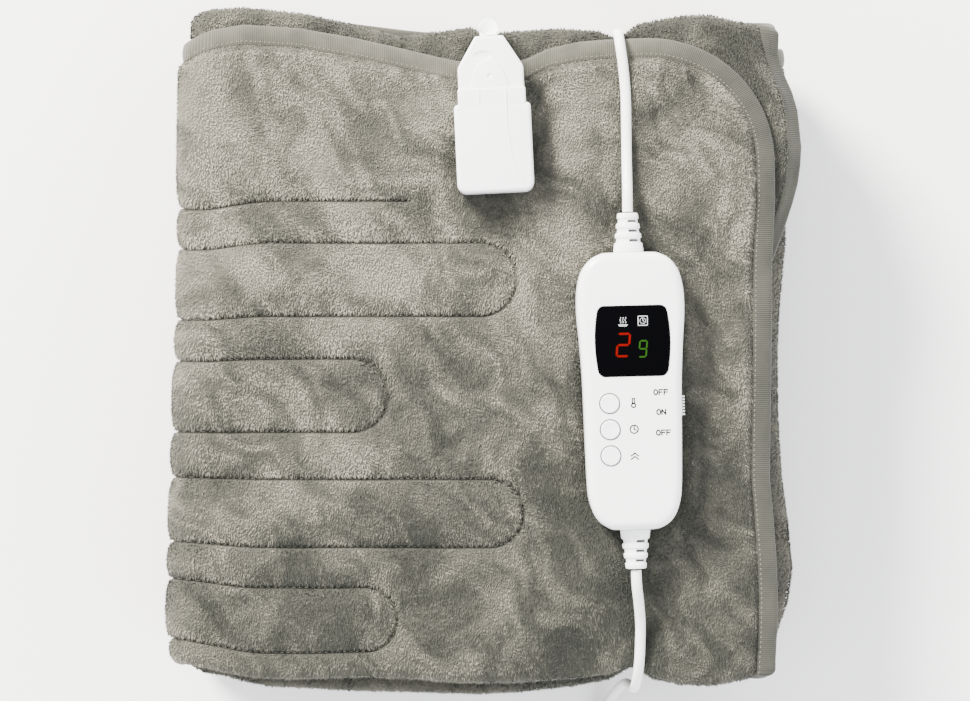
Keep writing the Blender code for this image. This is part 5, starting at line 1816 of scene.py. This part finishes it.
def prism(outline: list[Vector], bottom: float, top: float) -> Shape:
    """Makes a flat-ended solid over an outline.

    Args:
        outline: the outline's points, in order.
        bottom, top: the heights of its ends.

    Returns:
        The solid.
    """
    mesh = bmesh.new()
    face = mesh.faces.new([mesh.verts.new((p.x, p.y, bottom)) for p in outline])
    raised = bmesh.ops.extrude_face_region(mesh, geom=[face], use_keep_orig=True)
    for item in raised["geom"]:
        if isinstance(item, bmesh.types.BMVert):
            item.co.z = top
    return outward(mesh)


def lathe(profile: list[tuple[float, float]], steps: int = 32) -> Shape:
    """Makes a solid that is turned round Z.

    Args:
        profile: the (radius, height) points of half its section.
        steps: how many sides it has.

    Returns:
        The solid.
    """
    mesh = bmesh.new()
    verts = [mesh.verts.new((r, 0, z)) for r, z in profile]
    edges = [mesh.edges.new(pair) for pair in zip(verts, verts[1:])]
    bmesh.ops.spin(mesh, geom=verts + edges, cent=(0, 0, 0), axis=(0, 0, 1), angle=2 * math.pi,
                   steps=steps, use_merge=True)
    bmesh.ops.remove_doubles(mesh, verts=mesh.verts, dist=1e-6)
    return outward(mesh)


def boxed(centre: tuple[float, float, float], size: tuple[float, float, float]) -> Shape:
    """Makes a rectangular solid.

    Args:
        centre: its middle.
        size: its sizes along X, Y and Z.

    Returns:
        The solid.
    """
    mesh = bmesh.new()
    bmesh.ops.create_cube(mesh, size=1.0)
    bmesh.ops.scale(mesh, vec=size, verts=mesh.verts)
    return shifted(mesh, *centre)


def swept(points: list[Vector], radii: list[float], sides: int,
          aim: Callable[[Vector], Matrix]) -> Shape:
    """Makes a round solid along a line.

    Args:
        points: the points of its middle line.
        radii: its radius at each of them.
        sides: how many sides its section has.
        aim: gives the rotation that faces a ring along a direction.

    Returns:
        The solid.
    """
    mesh, loops = bmesh.new(), []
    for k, (point, radius) in enumerate(zip(points, radii)):
        loop = bmesh.ops.create_circle(mesh, segments=sides, radius=radius)["verts"]
        way = points[min(k + 1, len(points) - 1)] - points[max(k - 1, 0)]
        bmesh.ops.rotate(mesh, cent=(0, 0, 0), verts=loop, matrix=aim(way))
        bmesh.ops.translate(mesh, vec=point, verts=loop)
        loops.append(loop)
    for pair in zip(loops, loops[1:]):
        edges = {e for ring in pair for v in ring for e in v.link_edges if e.other_vert(v) in ring}
        bmesh.ops.bridge_loops(mesh, edges=list(edges))
    for end in (loops[0], loops[-1]):
        bmesh.ops.contextual_create(mesh, geom=end)
    bmesh.ops.recalc_face_normals(mesh, faces=mesh.faces)
    return mesh


def gathered(meshes: list[Shape]) -> Shape:
    """Puts several shapes into one.

    Args:
        meshes: the shapes, which are freed.

    Returns:
        The one shape.
    """
    whole = bmesh.new()
    for mesh in meshes:
        data = bpy.data.meshes.new("part")
        mesh.to_mesh(data)
        mesh.free()
        whole.from_mesh(data)
        bpy.data.meshes.remove(data)
    return whole


def strokes(lines: list[list[tuple[float, float]]], width: float, bottom: float,
            top: float) -> Shape:
    """Makes flat bars along lines.

    Args:
        lines: the points of each line.
        width: how wide the bars are.
        bottom, top: the heights of their undersides and faces.

    Returns:
        All the bars.
    """
    overlap = 0.9  # how much longer than its line a bar is, in widths, so that corners close
    bars = []
    for line in lines:
        for (ax, ay), (bx, by) in zip(line, line[1:]):
            length = math.hypot(bx - ax, by - ay)
            bar = boxed((0, 0, (bottom + top) / 2), (length + width * overlap, width, top - bottom))
            bmesh.ops.rotate(bar, cent=(0, 0, 0), verts=bar.verts,
                             matrix=Matrix.Rotation(math.atan2(by - ay, bx - ax), 3, "Z"))
            bars.append(shifted(bar, (ax + bx) / 2, (ay + by) / 2, 0))
    return gathered(bars)


def circle_line(x: float, y: float, radius: float, steps: int = 14) -> list[tuple[float, float]]:
    """A closed line round a point."""
    angles = [2 * math.pi * k / steps for k in range(steps + 1)]
    return [(x + radius * math.cos(angle), y + radius * math.sin(angle)) for angle in angles]


# the letters of the switch's words, in half heights
LETTERS = {"O": [circle_line(0, 0, 1.0, 12)],
           "F": [[(-0.9, -1), (-0.9, 1), (1, 1)], [(-0.9, 0), (0.7, 0)]],
           "N": [[(-1, -1), (-1, 1), (1, -1), (1, 1)]]}


def carved(solid: Shape, cutters: list[Shape]) -> Shape:
    """Cuts shapes out of a solid; all of them are freed.

    Args:
        solid: what is cut.
        cutters: what is taken away.

    Returns:
        The cut solid.
    """
    objects = []
    for mesh in [solid, *cutters]:
        data = bpy.data.meshes.new("blank")
        mesh.to_mesh(data)
        mesh.free()
        objects.append(bpy.data.objects.new("blank", data))
        bpy.context.scene.collection.objects.link(objects[-1])
    for cutter in objects[1:]:
        modifier = objects[0].modifiers.new("cut", "BOOLEAN")
        modifier.operation = "DIFFERENCE"
        modifier.solver = "EXACT"
        modifier.object = cutter
    graph = bpy.context.evaluated_depsgraph_get()
    result = bmesh.new()
    result.from_mesh(objects[0].evaluated_get(graph).to_mesh())
    for piece in objects:
        data = piece.data
        bpy.data.objects.remove(piece)
        bpy.data.meshes.remove(data)
    return result


@dataclass(frozen=True)
class Seat:
    """Where a hard piece lies on the blanket: a point, a height and a turn about Z."""
    x: float
    y: float
    z: float
    turn: float

    def lay(self, mesh: Shape) -> Shape:
        """Moves a shape from its own frame to its place.

        Args:
            mesh: the shape, drawn in the piece's own frame.

        Returns:
            The same shape.
        """
        bmesh.ops.rotate(mesh, cent=(0, 0, 0), matrix=Matrix.Rotation(self.turn, 3, "Z"),
                         verts=mesh.verts)
        return shifted(mesh, self.x, self.y, self.z)

    def point(self, x: float, y: float) -> tuple[float, float]:
        """Where a point of its own frame lies in the scene."""
        c, s = math.cos(self.turn), math.sin(self.turn)
        return self.x + c * x - s * y, self.y + s * x + c * y

    def footprint(self, start: float, end: float, half: float, bottom: float) -> Press:
        """How a long flat piece presses the cloth.

        Args:
            start, end: where it begins and ends along its own Y.
            half: half its width.
            bottom: the height of its underside over the seat.

        Returns:
            Its footprint.
        """
        sunk, slope, ridge = 0.4 * MM, 0.55, 1.0 * MM
        line = np.array([self.point(0, start + half), self.point(0, end - half)])
        return Press(line, half, np.full(2, self.z + bottom - sunk), slope, ridge)


@dataclass
class Controller:
    """The hand controller: shell, display, buttons, slide switch and strain reliefs."""
    shop: Workshop
    seat: Seat = Seat(70 * MM, -19.2 * MM, 98.55 * MM, math.radians(1.4))
    length: float = 131.6 * MM
    height: float = 21.8 * MM
    base_height: float = 9.2 * MM
    gap: float = 0.3 * MM
    edge: float = 4.4 * MM       # radius of the shell's rims
    lip: float = 0.3 * MM        # radius of the edges where its halves meet
    # half the shell's width along it, in millimetres: (y, half)
    half_widths: tuple = ((-65.8, 9), (-65.0, 12.4), (-62.4, 16.6), (-58.2, 19.6), (-51.6, 21.7),
                          (-44.9, 22.4), (-31.2, 22.8), (-10.9, 23.2), (6.6, 23.6), (22.7, 24.5),
                          (34, 25.4), (42, 25.6), (49.3, 25.1), (56.8, 23.2), (62.4, 19.2),
                          (65.0, 14.6), (65.8, 10.5))
    display: tuple = (0.5 * MM, 23.7 * MM, 35.5 * MM, 33.4 * MM)     # x, y, width, length
    display_radius: float = 2.8 * MM
    display_bow: float = 1.8 * MM
    display_depth: float = 1.2 * MM
    button_x: float = -11.1 * MM
    button_radius: float = 4.5 * MM
    button_rise: float = 0.7 * MM
    button_depth: float = 2.6 * MM
    buttons: tuple = (("button_temp", "temperature_button", -5.7 * MM),
                      ("button_time", "timer_button", -18.1 * MM),
                      ("button_high", "boost_button", -30.5 * MM))
    well_gap: float = 0.42 * MM  # round the buttons, at the well's wall and at its mouth
    well_mouth: float = 0.8 * MM
    well_depth: float = 2.8 * MM
    slot: tuple = (-9.9 * MM, 20.6 * MM, 4.4 * MM, 2.4 * MM, 13.7 * MM)  # y, length, height, depth, z
    slider: tuple = (-7.4 * MM, 10 * MM, 1.0 * MM)       # y, length, how far it stands out
    ridges: int = 7
    wall: float = 23.89 * MM     # how far out the side lies at the slot
    words: tuple = (("OFF", 13.2 * MM, -0.8 * MM), ("ON", 13.2 * MM, -10.2 * MM),
                    ("OFF", 14.0 * MM, -20.0 * MM))
    letter: tuple = (1.15 * MM, 0.75, 2.4 * MM)          # half height, width's share of it, pitch
    word_stroke: float = 0.64 * MM
    sign_stroke: float = 0.6 * MM
    icon_stroke: float = 0.28 * MM
    relief_length: float = 18.6 * MM
    relief_z: float = 10.4 * MM
    relief_radii: tuple = (7.3, 4.9)                     # at its start and end, in millimetres
    rib_pitch: float = 4.6       # in millimetres, as are the places of the ribs

    def outline(self) -> list[Vector]:
        """The shell seen from above: a slight waist and full, round ends.

        Returns:
            The outline's points, in order.
        """
        right = [(half * MM, y * MM, 0.0) for y, half in self.half_widths]
        left = [(-x, y, z) for x, y, z in reversed(right)]
        smooth = flowing(np.array(right + left + right[:1]), 1.5 * MM)
        return [Vector(point[:2]) for point in smooth[:-1]]

    def display_outline(self, grown: float = 0.0) -> list[Vector]:
        """The display's window: round corners and bowed sides.

        Args:
            grown: how far the outline lies outside the window's own.

        Returns:
            The outline's points, in order.
        """
        x, y, width, length = self.display
        half, end, radius = width / 2 + grown, length / 2 + grown, self.display_radius + grown
        corners = rounded([(-half, end, radius), (-half, -end, radius), (half, -end, radius),
                           (half, end, radius)])
        points = []
        for k, point in enumerate(corners):
            after = corners[(k + 1) % len(corners)]
            points.append(point)
            if abs(after.y - point.y) > 10 * MM:
                points += [point.lerp(after, step / 16) for step in range(1, 16)]
        bow = self.display_bow / (width / 2)
        return [Vector((x + p.x * (1 - bow * (p.y / end) ** 2), y + p.y)) for p in points]

    def put(self, name: str, mesh: Shape, kind: Material, body: str = BODY,
            replaces: tuple[str, ...] = (), slot: str = "", angle: float = 40) -> Piece:
        """Lays a shape in its place and finishes it; takes the same values as Workshop.add."""
        return self.shop.add(name, self.seat.lay(mesh), kind, body, replaces, slot, angle)

    def build_shell(self) -> None:
        """Builds the two shells, with the wells and the slot cut into the upper one."""
        base = prism(self.outline(), 0, self.base_height)
        round_rim(base, 0, self.edge, 6)
        round_rim(base, self.base_height, self.lip, 2)
        self.put("shell_base", base, Material.SHELL, replaces=("controller_base",), angle=30)
        seam, above = self.base_height + self.gap, self.height + MM
        top = prism(self.outline(), seam, self.height)
        round_rim(top, self.height, self.edge, 8)
        round_rim(top, seam, self.lip, 2)
        cutters = [prism(self.display_outline(self.gap), self.height - self.display_depth - self.gap,
                         above)]
        floor, wall = self.height - self.well_depth, self.button_radius + self.well_gap
        mouth = self.button_radius + self.well_mouth
        for _, _, y in self.buttons:
            well = lathe([(0, floor), (wall, floor), (wall, self.height - 0.3 * MM),
                          (mouth, self.height + 0.1 * MM), (mouth, above), (0, above)], 48)
            cutters.append(shifted(well, self.button_x, y, 0))
        y, length, high, depth, z = self.slot
        cutters.append(boxed((self.wall, y, z), (2 * depth, length, high)))
        self.put("shell_top", carved(top, cutters), Material.SHELL, replaces=("controller_top",),
                 angle=30)
        # a dark sheet at the back of the slot, painted shade
        slot_shade_sheet = boxed((self.wall - depth + 0.15 * MM, y, z),
                      (0.25 * MM, length - 0.2 * MM, high - 0.2 * MM))
        self.put("slot_shade", slot_shade_sheet, Material.GAP_SHADE, slot="white_plastic")

    def build_display(self) -> None:
        """Builds the window, the two digits and the icons over them."""
        face = self.height + 0.1 * MM
        window = prism(self.display_outline(), self.height - self.display_depth, face)
        round_rim(window, face, 0.25 * MM, 2)
        self.put("window", window, Material.WINDOW, replaces=("display_window",))
        low, high = face - 0.05 * MM, face + 0.03 * MM
        for name, lit, sizes, kind in (
                ("heat_digit", "abged", (-4.0, 21.9, 5.6, 10.6, 1.05), Material.RED),
                ("hours_digit", "abcdfg", (5.3, 19.9, 3.4, 7.6, 0.75), Material.GREEN)):
            self.put(name, self.digit(lit, *mm(sizes)[0], low, high), kind, slot="dark_window")
        waves = [mm((-6.0, 31.5), (-5.6, 30.9), (-2.2, 30.9), (-1.8, 31.5), (-6.0, 31.5))]
        for column in (-1.2, 0, 1.2):
            waves.append(mm(*((-3.9 + column + 0.3 * math.sin(t * 1.3), 32.4 + t * 0.36)
                              for t in range(8))))
        x, y, box_half = 5.5, 33.2, 2.2
        clock = [circle_line(x * MM, y * MM, 1.35 * MM, 16), mm((x, 34.1), (x, y), (6.1, 32.8)),
                 mm(*((x + a * box_half, y + b * box_half)
                      for a, b in ((-1, -1), (1, -1), (1, 1), (-1, 1), (-1, -1))))]
        icons = strokes(waves + clock, self.icon_stroke, low, high)
        self.put("display_icons", icons, Material.ICON, slot="dark_window")

    def digit(self, lit: str, x: float, y: float, width: float, height: float, bar: float,
              low: float, high: float) -> Shape:
        """Makes a seven-segment digit.

        Args:
            lit: the letters of its lit segments, a to g.
            x, y: its middle.
            width, height: between the middle lines of its outer segments.
            bar: the segments' width.
            low, high: its underside and face.

        Returns:
            The lit segments, leaning a little to the right.
        """
        w, h, slant, split = width / 2, height / 2, 0.1, 0.12
        ends = {"a": (-w, h, w, h), "b": (w, h, w, 0), "c": (w, 0, w, -h), "d": (-w, -h, w, -h),
                "e": (-w, 0, -w, -h), "f": (-w, h, -w, 0), "g": (-w, 0, w, 0)}
        parts = []
        for letter in lit:
            ax, ay, bx, by = ends[letter]
            start, end = Vector((ax, ay)), Vector((bx, by))
            along = (end - start).normalized()
            side = Vector((-along.y, along.x)) * bar / 2
            start, end = start + along * bar * split, end - along * bar * split
            inner = along * bar / 2
            points = [start, start + inner - side, end - inner - side, end, end - inner + side,
                      start + inner + side]
            points = [Vector((x + p.x + slant * p.y, y + p.y)) for p in points]
            parts.append(prism(points, low, high))
        return gathered(parts)

    def print_lines(self, name: str, lines: list[list[tuple[float, float]]], width: float) -> None:
        """Prints lines on the shell's face."""
        ink = strokes(lines, width, self.height - 0.05 * MM, self.height + 0.04 * MM)
        self.put(name, ink, Material.INK, slot="white_plastic")

    def build_buttons(self) -> None:
        """Builds the three buttons, dark rings of painted shade in the grooves round them and the signs
        beside them.
        """
        radius, face, top = self.button_radius, self.height, self.height + self.button_rise
        signs = {
            "button_temp": [circle_line(0, -1.1 * MM, 0.95 * MM),
                            mm((-0.55, -0.4), (-0.55, 2.1), (0.55, 2.1), (0.55, -0.4))],
            "button_time": [circle_line(0, 0, 1.9 * MM, 20), mm((0, 1.2), (0, 0), (0.9, -0.5))],
            "button_high": [mm((-1.7, lift), (0, lift + 1.3), (1.7, lift)) for lift in (-1.8, -0.2)]}
        # dark rings in the gaps round the buttons, painted shade
        inner, outer = radius + 0.06 * MM, radius + 0.5 * MM
        low, high = face - 0.8 * MM, face - 0.12 * MM
        gap_shade_rings = []
        for name, body, y in self.buttons:
            ring = lathe([(inner, low), (inner, high), (outer, high), (outer, low), (inner, low)], 48)
            gap_shade_rings.append(shifted(ring, self.button_x, y, 0))
            button = lathe([(0, top - 0.25 * MM), (radius * 0.5, top - 0.17 * MM),
                            (radius * 0.8, top - 0.02 * MM), (radius - 0.45 * MM, top),
                            (radius - 0.15 * MM, top - 0.12 * MM), (radius, top - 0.5 * MM),
                            (radius, top - self.button_depth), (0, top - self.button_depth)], 48)
            self.put(name.replace("button", "key"), shifted(button, self.button_x, y, 0),
                     Material.BUTTON, body, (name,), angle=50)
            lines = [[(0.2 * MM + at_x, y + at_y) for at_x, at_y in line] for line in signs[name]]
            self.print_lines(name.replace("button", "sign"), lines, self.sign_stroke)
        self.put("button_gap_shade", gathered(gap_shade_rings), Material.GAP_SHADE, slot="white_plastic")

    def build_switch(self) -> None:
        """Builds the ridged slider and the words beside it."""
        _, _, slot_high, depth, z = self.slot
        y, length, proud = self.slider
        inner, face = self.wall - depth + 0.45 * MM, self.wall - 0.35 * MM
        high = slot_high - 0.6 * MM
        slab = boxed(((inner + face) / 2, y, z), (face - inner, length, high))
        ridges = [bevelled(slab, slab.edges[:], 0.25 * MM, 2)]
        for k in range(self.ridges):
            at = y + (k - (self.ridges - 1) / 2) * (length - 1.6 * MM) / (self.ridges - 1)
            ridge = boxed((self.wall + proud - 0.75 * MM, at, z), (1.3 * MM, 0.8 * MM, high - 0.3 * MM))
            ridges.append(bevelled(ridge, ridge.edges[:], 0.18 * MM, 2))
        self.put("slider", gathered(ridges), Material.SLIDER, "power_switch", ("power_slider",))
        half, narrow, pitch = self.letter
        for k, (word, at_x, at_y) in enumerate(self.words):
            lines = []
            for place, letter in enumerate(word):
                middle = at_x + (place - (len(word) - 1) / 2) * pitch
                lines += [[(middle + x * half * narrow, at_y + y * half) for x, y in line]
                          for line in LETTERS[letter]]
            self.print_lines(f"word_{k + 1}", lines, self.word_stroke)

    def build_relief(self, end: str, way: int) -> None:
        """Builds a ribbed strain relief on one of the shell's ends.

        Args:
            end: the end's name, top or bottom.
            way: 1 where it points along +Y, and -1 where it points along -Y.
        """
        length, z, start = self.relief_length, self.relief_z, self.length / 2 + self.gap
        stations = [(0.0, 0.96), (0.3, 1.0)]
        for rib in range(3):
            at = 4.4 + rib * self.rib_pitch
            stations += [(at - 0.35, 1.0), (at, 0.97), (at + 0.3, 0.88), (at + 2.0, 0.87),
                         (at + 2.3, 0.96), (at + 2.65, 1.0)]
        stations += [(18.2, 1.0), (length / MM, 0.95)]
        wide, narrow = self.relief_radii
        profile = [((wide + (narrow - wide) * at * MM / length) * share * MM, at * MM)
                   for at, share in stations]
        solid = lathe([(0, 0), *profile, (0, length)], 40)
        for vert in solid.verts:
            flat = 0.62 + 0.20 * vert.co.z / length
            vert.co = (vert.co.x, way * (start + vert.co.z), z + vert.co.y * flat)
        outward(solid)
        slots, slot_floor_shades = [], []
        for rib in range(3):
            x, y = (2.4 - rib * 0.3) * MM, way * (start + (5.5 + rib * self.rib_pitch) * MM)
            slot = boxed((x, y, z + 5.2 * MM), (4.2 * MM, 1.3 * MM, 4.6 * MM))
            upright = [e for e in slot.edges if abs(e.verts[0].co.z - e.verts[1].co.z) > MM]
            slots.append(bevelled(slot, upright, 0.6 * MM, 4))
            # a dark slab at each slot's floor, painted shade
            slot_floor_shades.append(boxed((x, y, z + (3.1 - rib * 0.15) * MM), (3.8 * MM, 1.0 * MM, 0.3 * MM)))
        self.put("slots_" + end, gathered(slot_floor_shades), Material.GAP_SHADE, slot="soft_plastic")
        self.put("ribs_" + end, carved(solid, slots), Material.SHELL, replaces=("relief_" + end,),
                 angle=35)

    def build(self) -> None:
        """Builds and dresses the whole controller."""
        self.build_shell()
        self.build_display()
        self.build_buttons()
        self.build_switch()
        self.build_relief("top", 1)
        self.build_relief("bottom", -1)

    def footprints(self) -> list[Press]:
        """How it presses the cloth."""
        return [self.seat.footprint(-66 * MM, 66 * MM, 22 * MM, 0.0)]


@dataclass
class Connector:
    """The blanket's socket and the plug in it."""
    shop: Workshop
    seat: Seat = Seat(3.6 * MM, 112.6 * MM, 98.55 * MM, math.radians(2.7))
    socket_width: float = 36.6 * MM
    socket_height: float = 15 * MM
    socket_start: float = -37.3 * MM
    socket_end: float = 5.0 * MM
    plug_width: float = 31.4 * MM
    plug_neck: float = 13.4 * MM
    plug_end: float = 37.3 * MM
    plug_shoulder: float = 22.5 * MM
    plug_bottom: float = 1.2 * MM
    plug_top: float = 13.6 * MM
    gap: float = 0.3 * MM
    mouth_end: float = 12.7 * MM
    mouth_wall: float = 0.45 * MM
    boot_bend: float = 4.5 * MM
    boot_z: float = 7.4 * MM
    boot_radii: tuple = (4.35, 3.15)     # in its bend and at its end, in millimetres
    boot_drop: float = 6 * MM
    # lines on the connector seen from above, in millimetres
    latch: tuple = ((-9.7, 12.2), (-8.5, 18.2), (-6.3, 23.2), (-3.0, 25.2), (0.9, 25.5),
                    (4.0, 24.0), (6.6, 18.8), (8.9, 12.2))
    ridge_line: tuple = ((6.8, 12.2), (6.75, 4), (6.7, -4.2), (7.4, -13), (8.5, -20), (11, -28),
                         (14.6, -34.8))
    mark_line: tuple = ((-5.9, 12.0), (-6.0, 8), (-6.2, 4.6))

    def put(self, name: str, mesh: Shape, kind: Material,
            replaces: tuple[str, ...] = (), slot: str = "", angle: float = 35) -> Piece:
        """Lays a shape in its place and finishes it; takes the same values as Workshop.add."""
        return self.shop.add(name, self.seat.lay(mesh), kind, BODY, replaces, slot, angle)

    def add_ridge(self, name: str, line: tuple, radius: float) -> None:
        """Builds a thin round line with pointed ends on the socket.

        Args:
            name: the piece's name.
            line: its (x, y) points, in millimetres.
            radius: half its width.
        """
        rise = self.socket_height / MM - 0.05
        points = [Vector(p) for p in flowing(np.array([(x, y, rise) for x, y in line]) * MM, 0.8 * MM)]
        last = len(points) - 1
        radii = [radius * min(1.0, min(k, last - k) / 3 + 0.15) for k in range(last + 1)]
        ridge = swept(points, radii, 8, lambda way: way.to_track_quat("Z", "Y").to_matrix())
        self.put(name, ridge, Material.SOCKET, slot="socket_plastic", angle=60)

    def build_socket(self) -> None:
        """Builds the socket with its moulded line."""
        half, rim = self.socket_width / 2, self.socket_height - 0.1 * MM
        start, end = self.socket_start, self.socket_end
        socket = prism(rounded([(-half, end, 2 * MM), (-half, start, 4.5 * MM),
                                (half, start, 4.5 * MM), (half, end, 2 * MM)], 10),
                       0, self.socket_height)
        round_rim(socket, self.socket_height, 2.4 * MM, 7)
        round_rim(socket, 0, 0.8 * MM, 2)
        half = self.plug_width / 2 + self.mouth_wall
        mouth = prism(rounded([(-half, self.mouth_end, 1.2 * MM), (-half, 0, 0), (half, 0, 0),
                               (half, self.mouth_end, 1.2 * MM)], 6), 0.6 * MM, rim)
        round_rim(mouth, rim, 1.6 * MM, 6)
        self.put("socket", gathered([socket, mouth]), Material.SOCKET, ("connector_socket",))
        self.add_ridge("socket_line", self.ridge_line, 0.45 * MM)
        self.add_ridge("socket_mark", self.mark_line, 0.4 * MM)

    def build_plug(self) -> None:
        """Builds the plug with its latch."""
        half, neck = self.plug_width / 2, self.plug_neck / 2
        start = self.socket_end + self.gap
        plug = prism(rounded([(-neck, self.plug_end, 1.5 * MM), (-half, self.plug_shoulder, 5 * MM),
                              (-half, start, 0), (half, start, 0), (half, self.plug_shoulder, 5 * MM),
                              (neck, self.plug_end, 1.5 * MM)], 10), self.plug_bottom, self.plug_top)
        round_rim(plug, self.plug_top, 2.2 * MM, 7)
        round_rim(plug, self.plug_bottom, 0.6 * MM, 2)
        dent = bmesh.new()
        bmesh.ops.create_uvsphere(dent, u_segments=40, v_segments=24, radius=1.0)
        bmesh.ops.scale(dent, vec=(4.8 * MM, 2.4 * MM, 1.0 * MM), verts=dent.verts)
        shifted(dent, -3.4 * MM, 28.0 * MM, self.plug_top + 0.25 * MM)
        self.put("plug", carved(plug, [dent]), Material.SHELL, ("connector_plug",))
        face = self.plug_top + 0.75 * MM
        line = flowing(np.array([(x, y, 0.0) for x, y in self.latch]) * MM, 0.7 * MM)
        latch = prism([Vector(p) for p in line[:, :2]], self.plug_top - 0.6 * MM, face)
        round_rim(latch, face, 0.45 * MM, 4)
        dimple = bmesh.new()
        bmesh.ops.create_uvsphere(dimple, u_segments=24, v_segments=16, radius=1.6 * MM)
        shifted(dimple, -0.6 * MM, 18.2 * MM, self.plug_top + 1.6 * MM)
        self.put("latch", carved(latch, [dimple]), Material.SHELL, slot="white_plastic")

    def build_boot(self) -> None:
        """Builds the plug's cord exit, which turns down over the blanket's edge."""
        start, bend, z = self.plug_end + self.gap, self.boot_bend, self.boot_z
        wide, narrow = self.boot_radii
        points, radii = [(0, start, z)], [wide * MM]
        for step in range(13):
            angle = math.pi / 2 * step / 12
            points.append((0, start + self.gap + bend * math.sin(angle),
                           z - bend + bend * math.cos(angle)))
            radii.append(wide * MM)
        for step in range(1, 9):
            points.append((0, start + self.gap + bend, z - bend - self.boot_drop * step / 8))
            radii.append((wide + (narrow - wide) * step / 8) * MM)
        boot = swept([Vector(p) for p in points], radii, 32, lambda way: Matrix.Rotation(
            math.atan2(-way.z, way.y) - math.pi / 2, 3, "X"))
        self.put("boot", boot, Material.SHELL, ("connector_boot",), angle=50)

    def build(self) -> None:
        """Builds and dresses the socket and the plug."""
        self.build_socket()
        self.build_plug()
        self.build_boot()

    def footprints(self) -> list[Press]:
        """How the socket and the plug press the cloth."""
        return [self.seat.footprint(-37 * MM, 5 * MM, 16 * MM, 0.0),
                self.seat.footprint(5 * MM, 34 * MM, 13 * MM, 1.0 * MM)]


# ---------------------------------------------------------------- studio

@dataclass
class Studio:
    """The floor, the camera straight above and the soft light."""
    shop: Workshop
    camera_height: float = 1.6984
    lens: float = 123.7
    sensor: float = 36.0
    middle: float = 0.06

    def build_floor(self) -> None:
        """Lays the paper under the object."""
        mesh = bmesh.new()
        bmesh.ops.create_grid(mesh, x_segments=1, y_segments=1, size=3.0)
        data = bpy.data.meshes.new("floor")
        mesh.to_mesh(data)
        mesh.free()
        floor = bpy.data.objects.new("floor", data)
        data.materials.append(self.shop.finish(Material.PAPER))
        bpy.context.scene.collection.objects.link(floor)

    def build_camera(self) -> None:
        """Sets the camera as the photograph was taken, straight down."""
        data = bpy.data.cameras.new("camera")
        data.lens = self.lens
        data.sensor_width = self.sensor
        data.clip_start, data.clip_end = 0.01, 20
        data.dof.use_dof = False
        camera = bpy.data.objects.new("camera", data)
        camera.location = (0, 0, self.camera_height)
        bpy.context.scene.collection.objects.link(camera)
        bpy.context.scene.camera = camera

    def add_light(self, name: str, place: tuple[float, float, float], size: float,
                  power: float, colour: str) -> None:
        """Hangs a soft light that faces the object.

        Args:
            name: the light's name.
            place: where it hangs.
            size: its width.
            power: its power in watts.
            colour: its sRGB hex colour.
        """
        data = bpy.data.lights.new(name, "AREA")
        data.shape = "DISK"
        data.size = size
        data.energy = power
        data.color = linear(colour)[:3]
        light = bpy.data.objects.new(name, data)
        light.location = place
        aim = Vector((0, 0, self.middle)) - Vector(place)
        light.rotation_euler = aim.to_track_quat("-Z", "Y").to_euler()
        bpy.context.scene.collection.objects.link(light)

    def build_light(self) -> None:
        """Hangs the lights and sets the room's own light."""
        self.add_light("key", (-1.3, 1.7, 1.5), 0.8, 400, "#fffaf2")
        self.add_light("fill", (1.6, -0.9, 1.9), 1.6, 36, "#f2f6ff")
        world = bpy.data.worlds.new("room")
        world.use_nodes = True
        back = world.node_tree.nodes["Background"]
        back.inputs["Color"].default_value = linear("#f3f4f6")
        back.inputs["Strength"].default_value = 3.0
        bpy.context.scene.world = world

    def build(self) -> None:
        """Builds the whole studio."""
        self.build_floor()
        self.build_camera()
        self.build_light()


# ---------------------------------------------------------------- main

def footprints(controller: Controller, connector: Connector, cords: Cords) -> tuple[Press, ...]:
    """What lies on the cloth: the controller, the connector and the cords between.

    Args:
        controller, connector, cords: the pieces that press the cloth.

    Returns:
        Their footprints.
    """
    presses = controller.footprints() + connector.footprints()
    for route in (cords.link[19:], cords.mains[:6]):
        line = np.array(route) * MM
        presses.append(Press(line[:, :2], cords.diameter / 2, line[:, 2] - cords.diameter / 2,
                             0.8, 0.3 * MM))
    return tuple(presses)


def main() -> None:
    """Builds every piece in order."""
    logging.basicConfig(level=logging.INFO, format="%(message)s", stream=sys.stdout)
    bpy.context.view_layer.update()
    shop = Workshop()
    Studio(shop).build()
    LOG.info("studio: floor, camera and light")
    cords = Cords(shop)
    cords.build(MainsPlug(shop).build())
    LOG.info("cords: link, mains lead, coil and plug")
    controller = Controller(shop)
    controller.build()
    LOG.info("controller: shell, display, buttons, switch and reliefs")
    connector = Connector(shop)
    connector.build()
    LOG.info("connector: socket, plug, latch and boot")
    plan = FoldPlan()
    blanket = Blanket(shop, plan, Quilting(plan), footprints(controller, connector, cords))
    blanket.build()
    LOG.info("blanket: cloth, tape, stitches and pile")


if __name__ == "__main__":
    main()
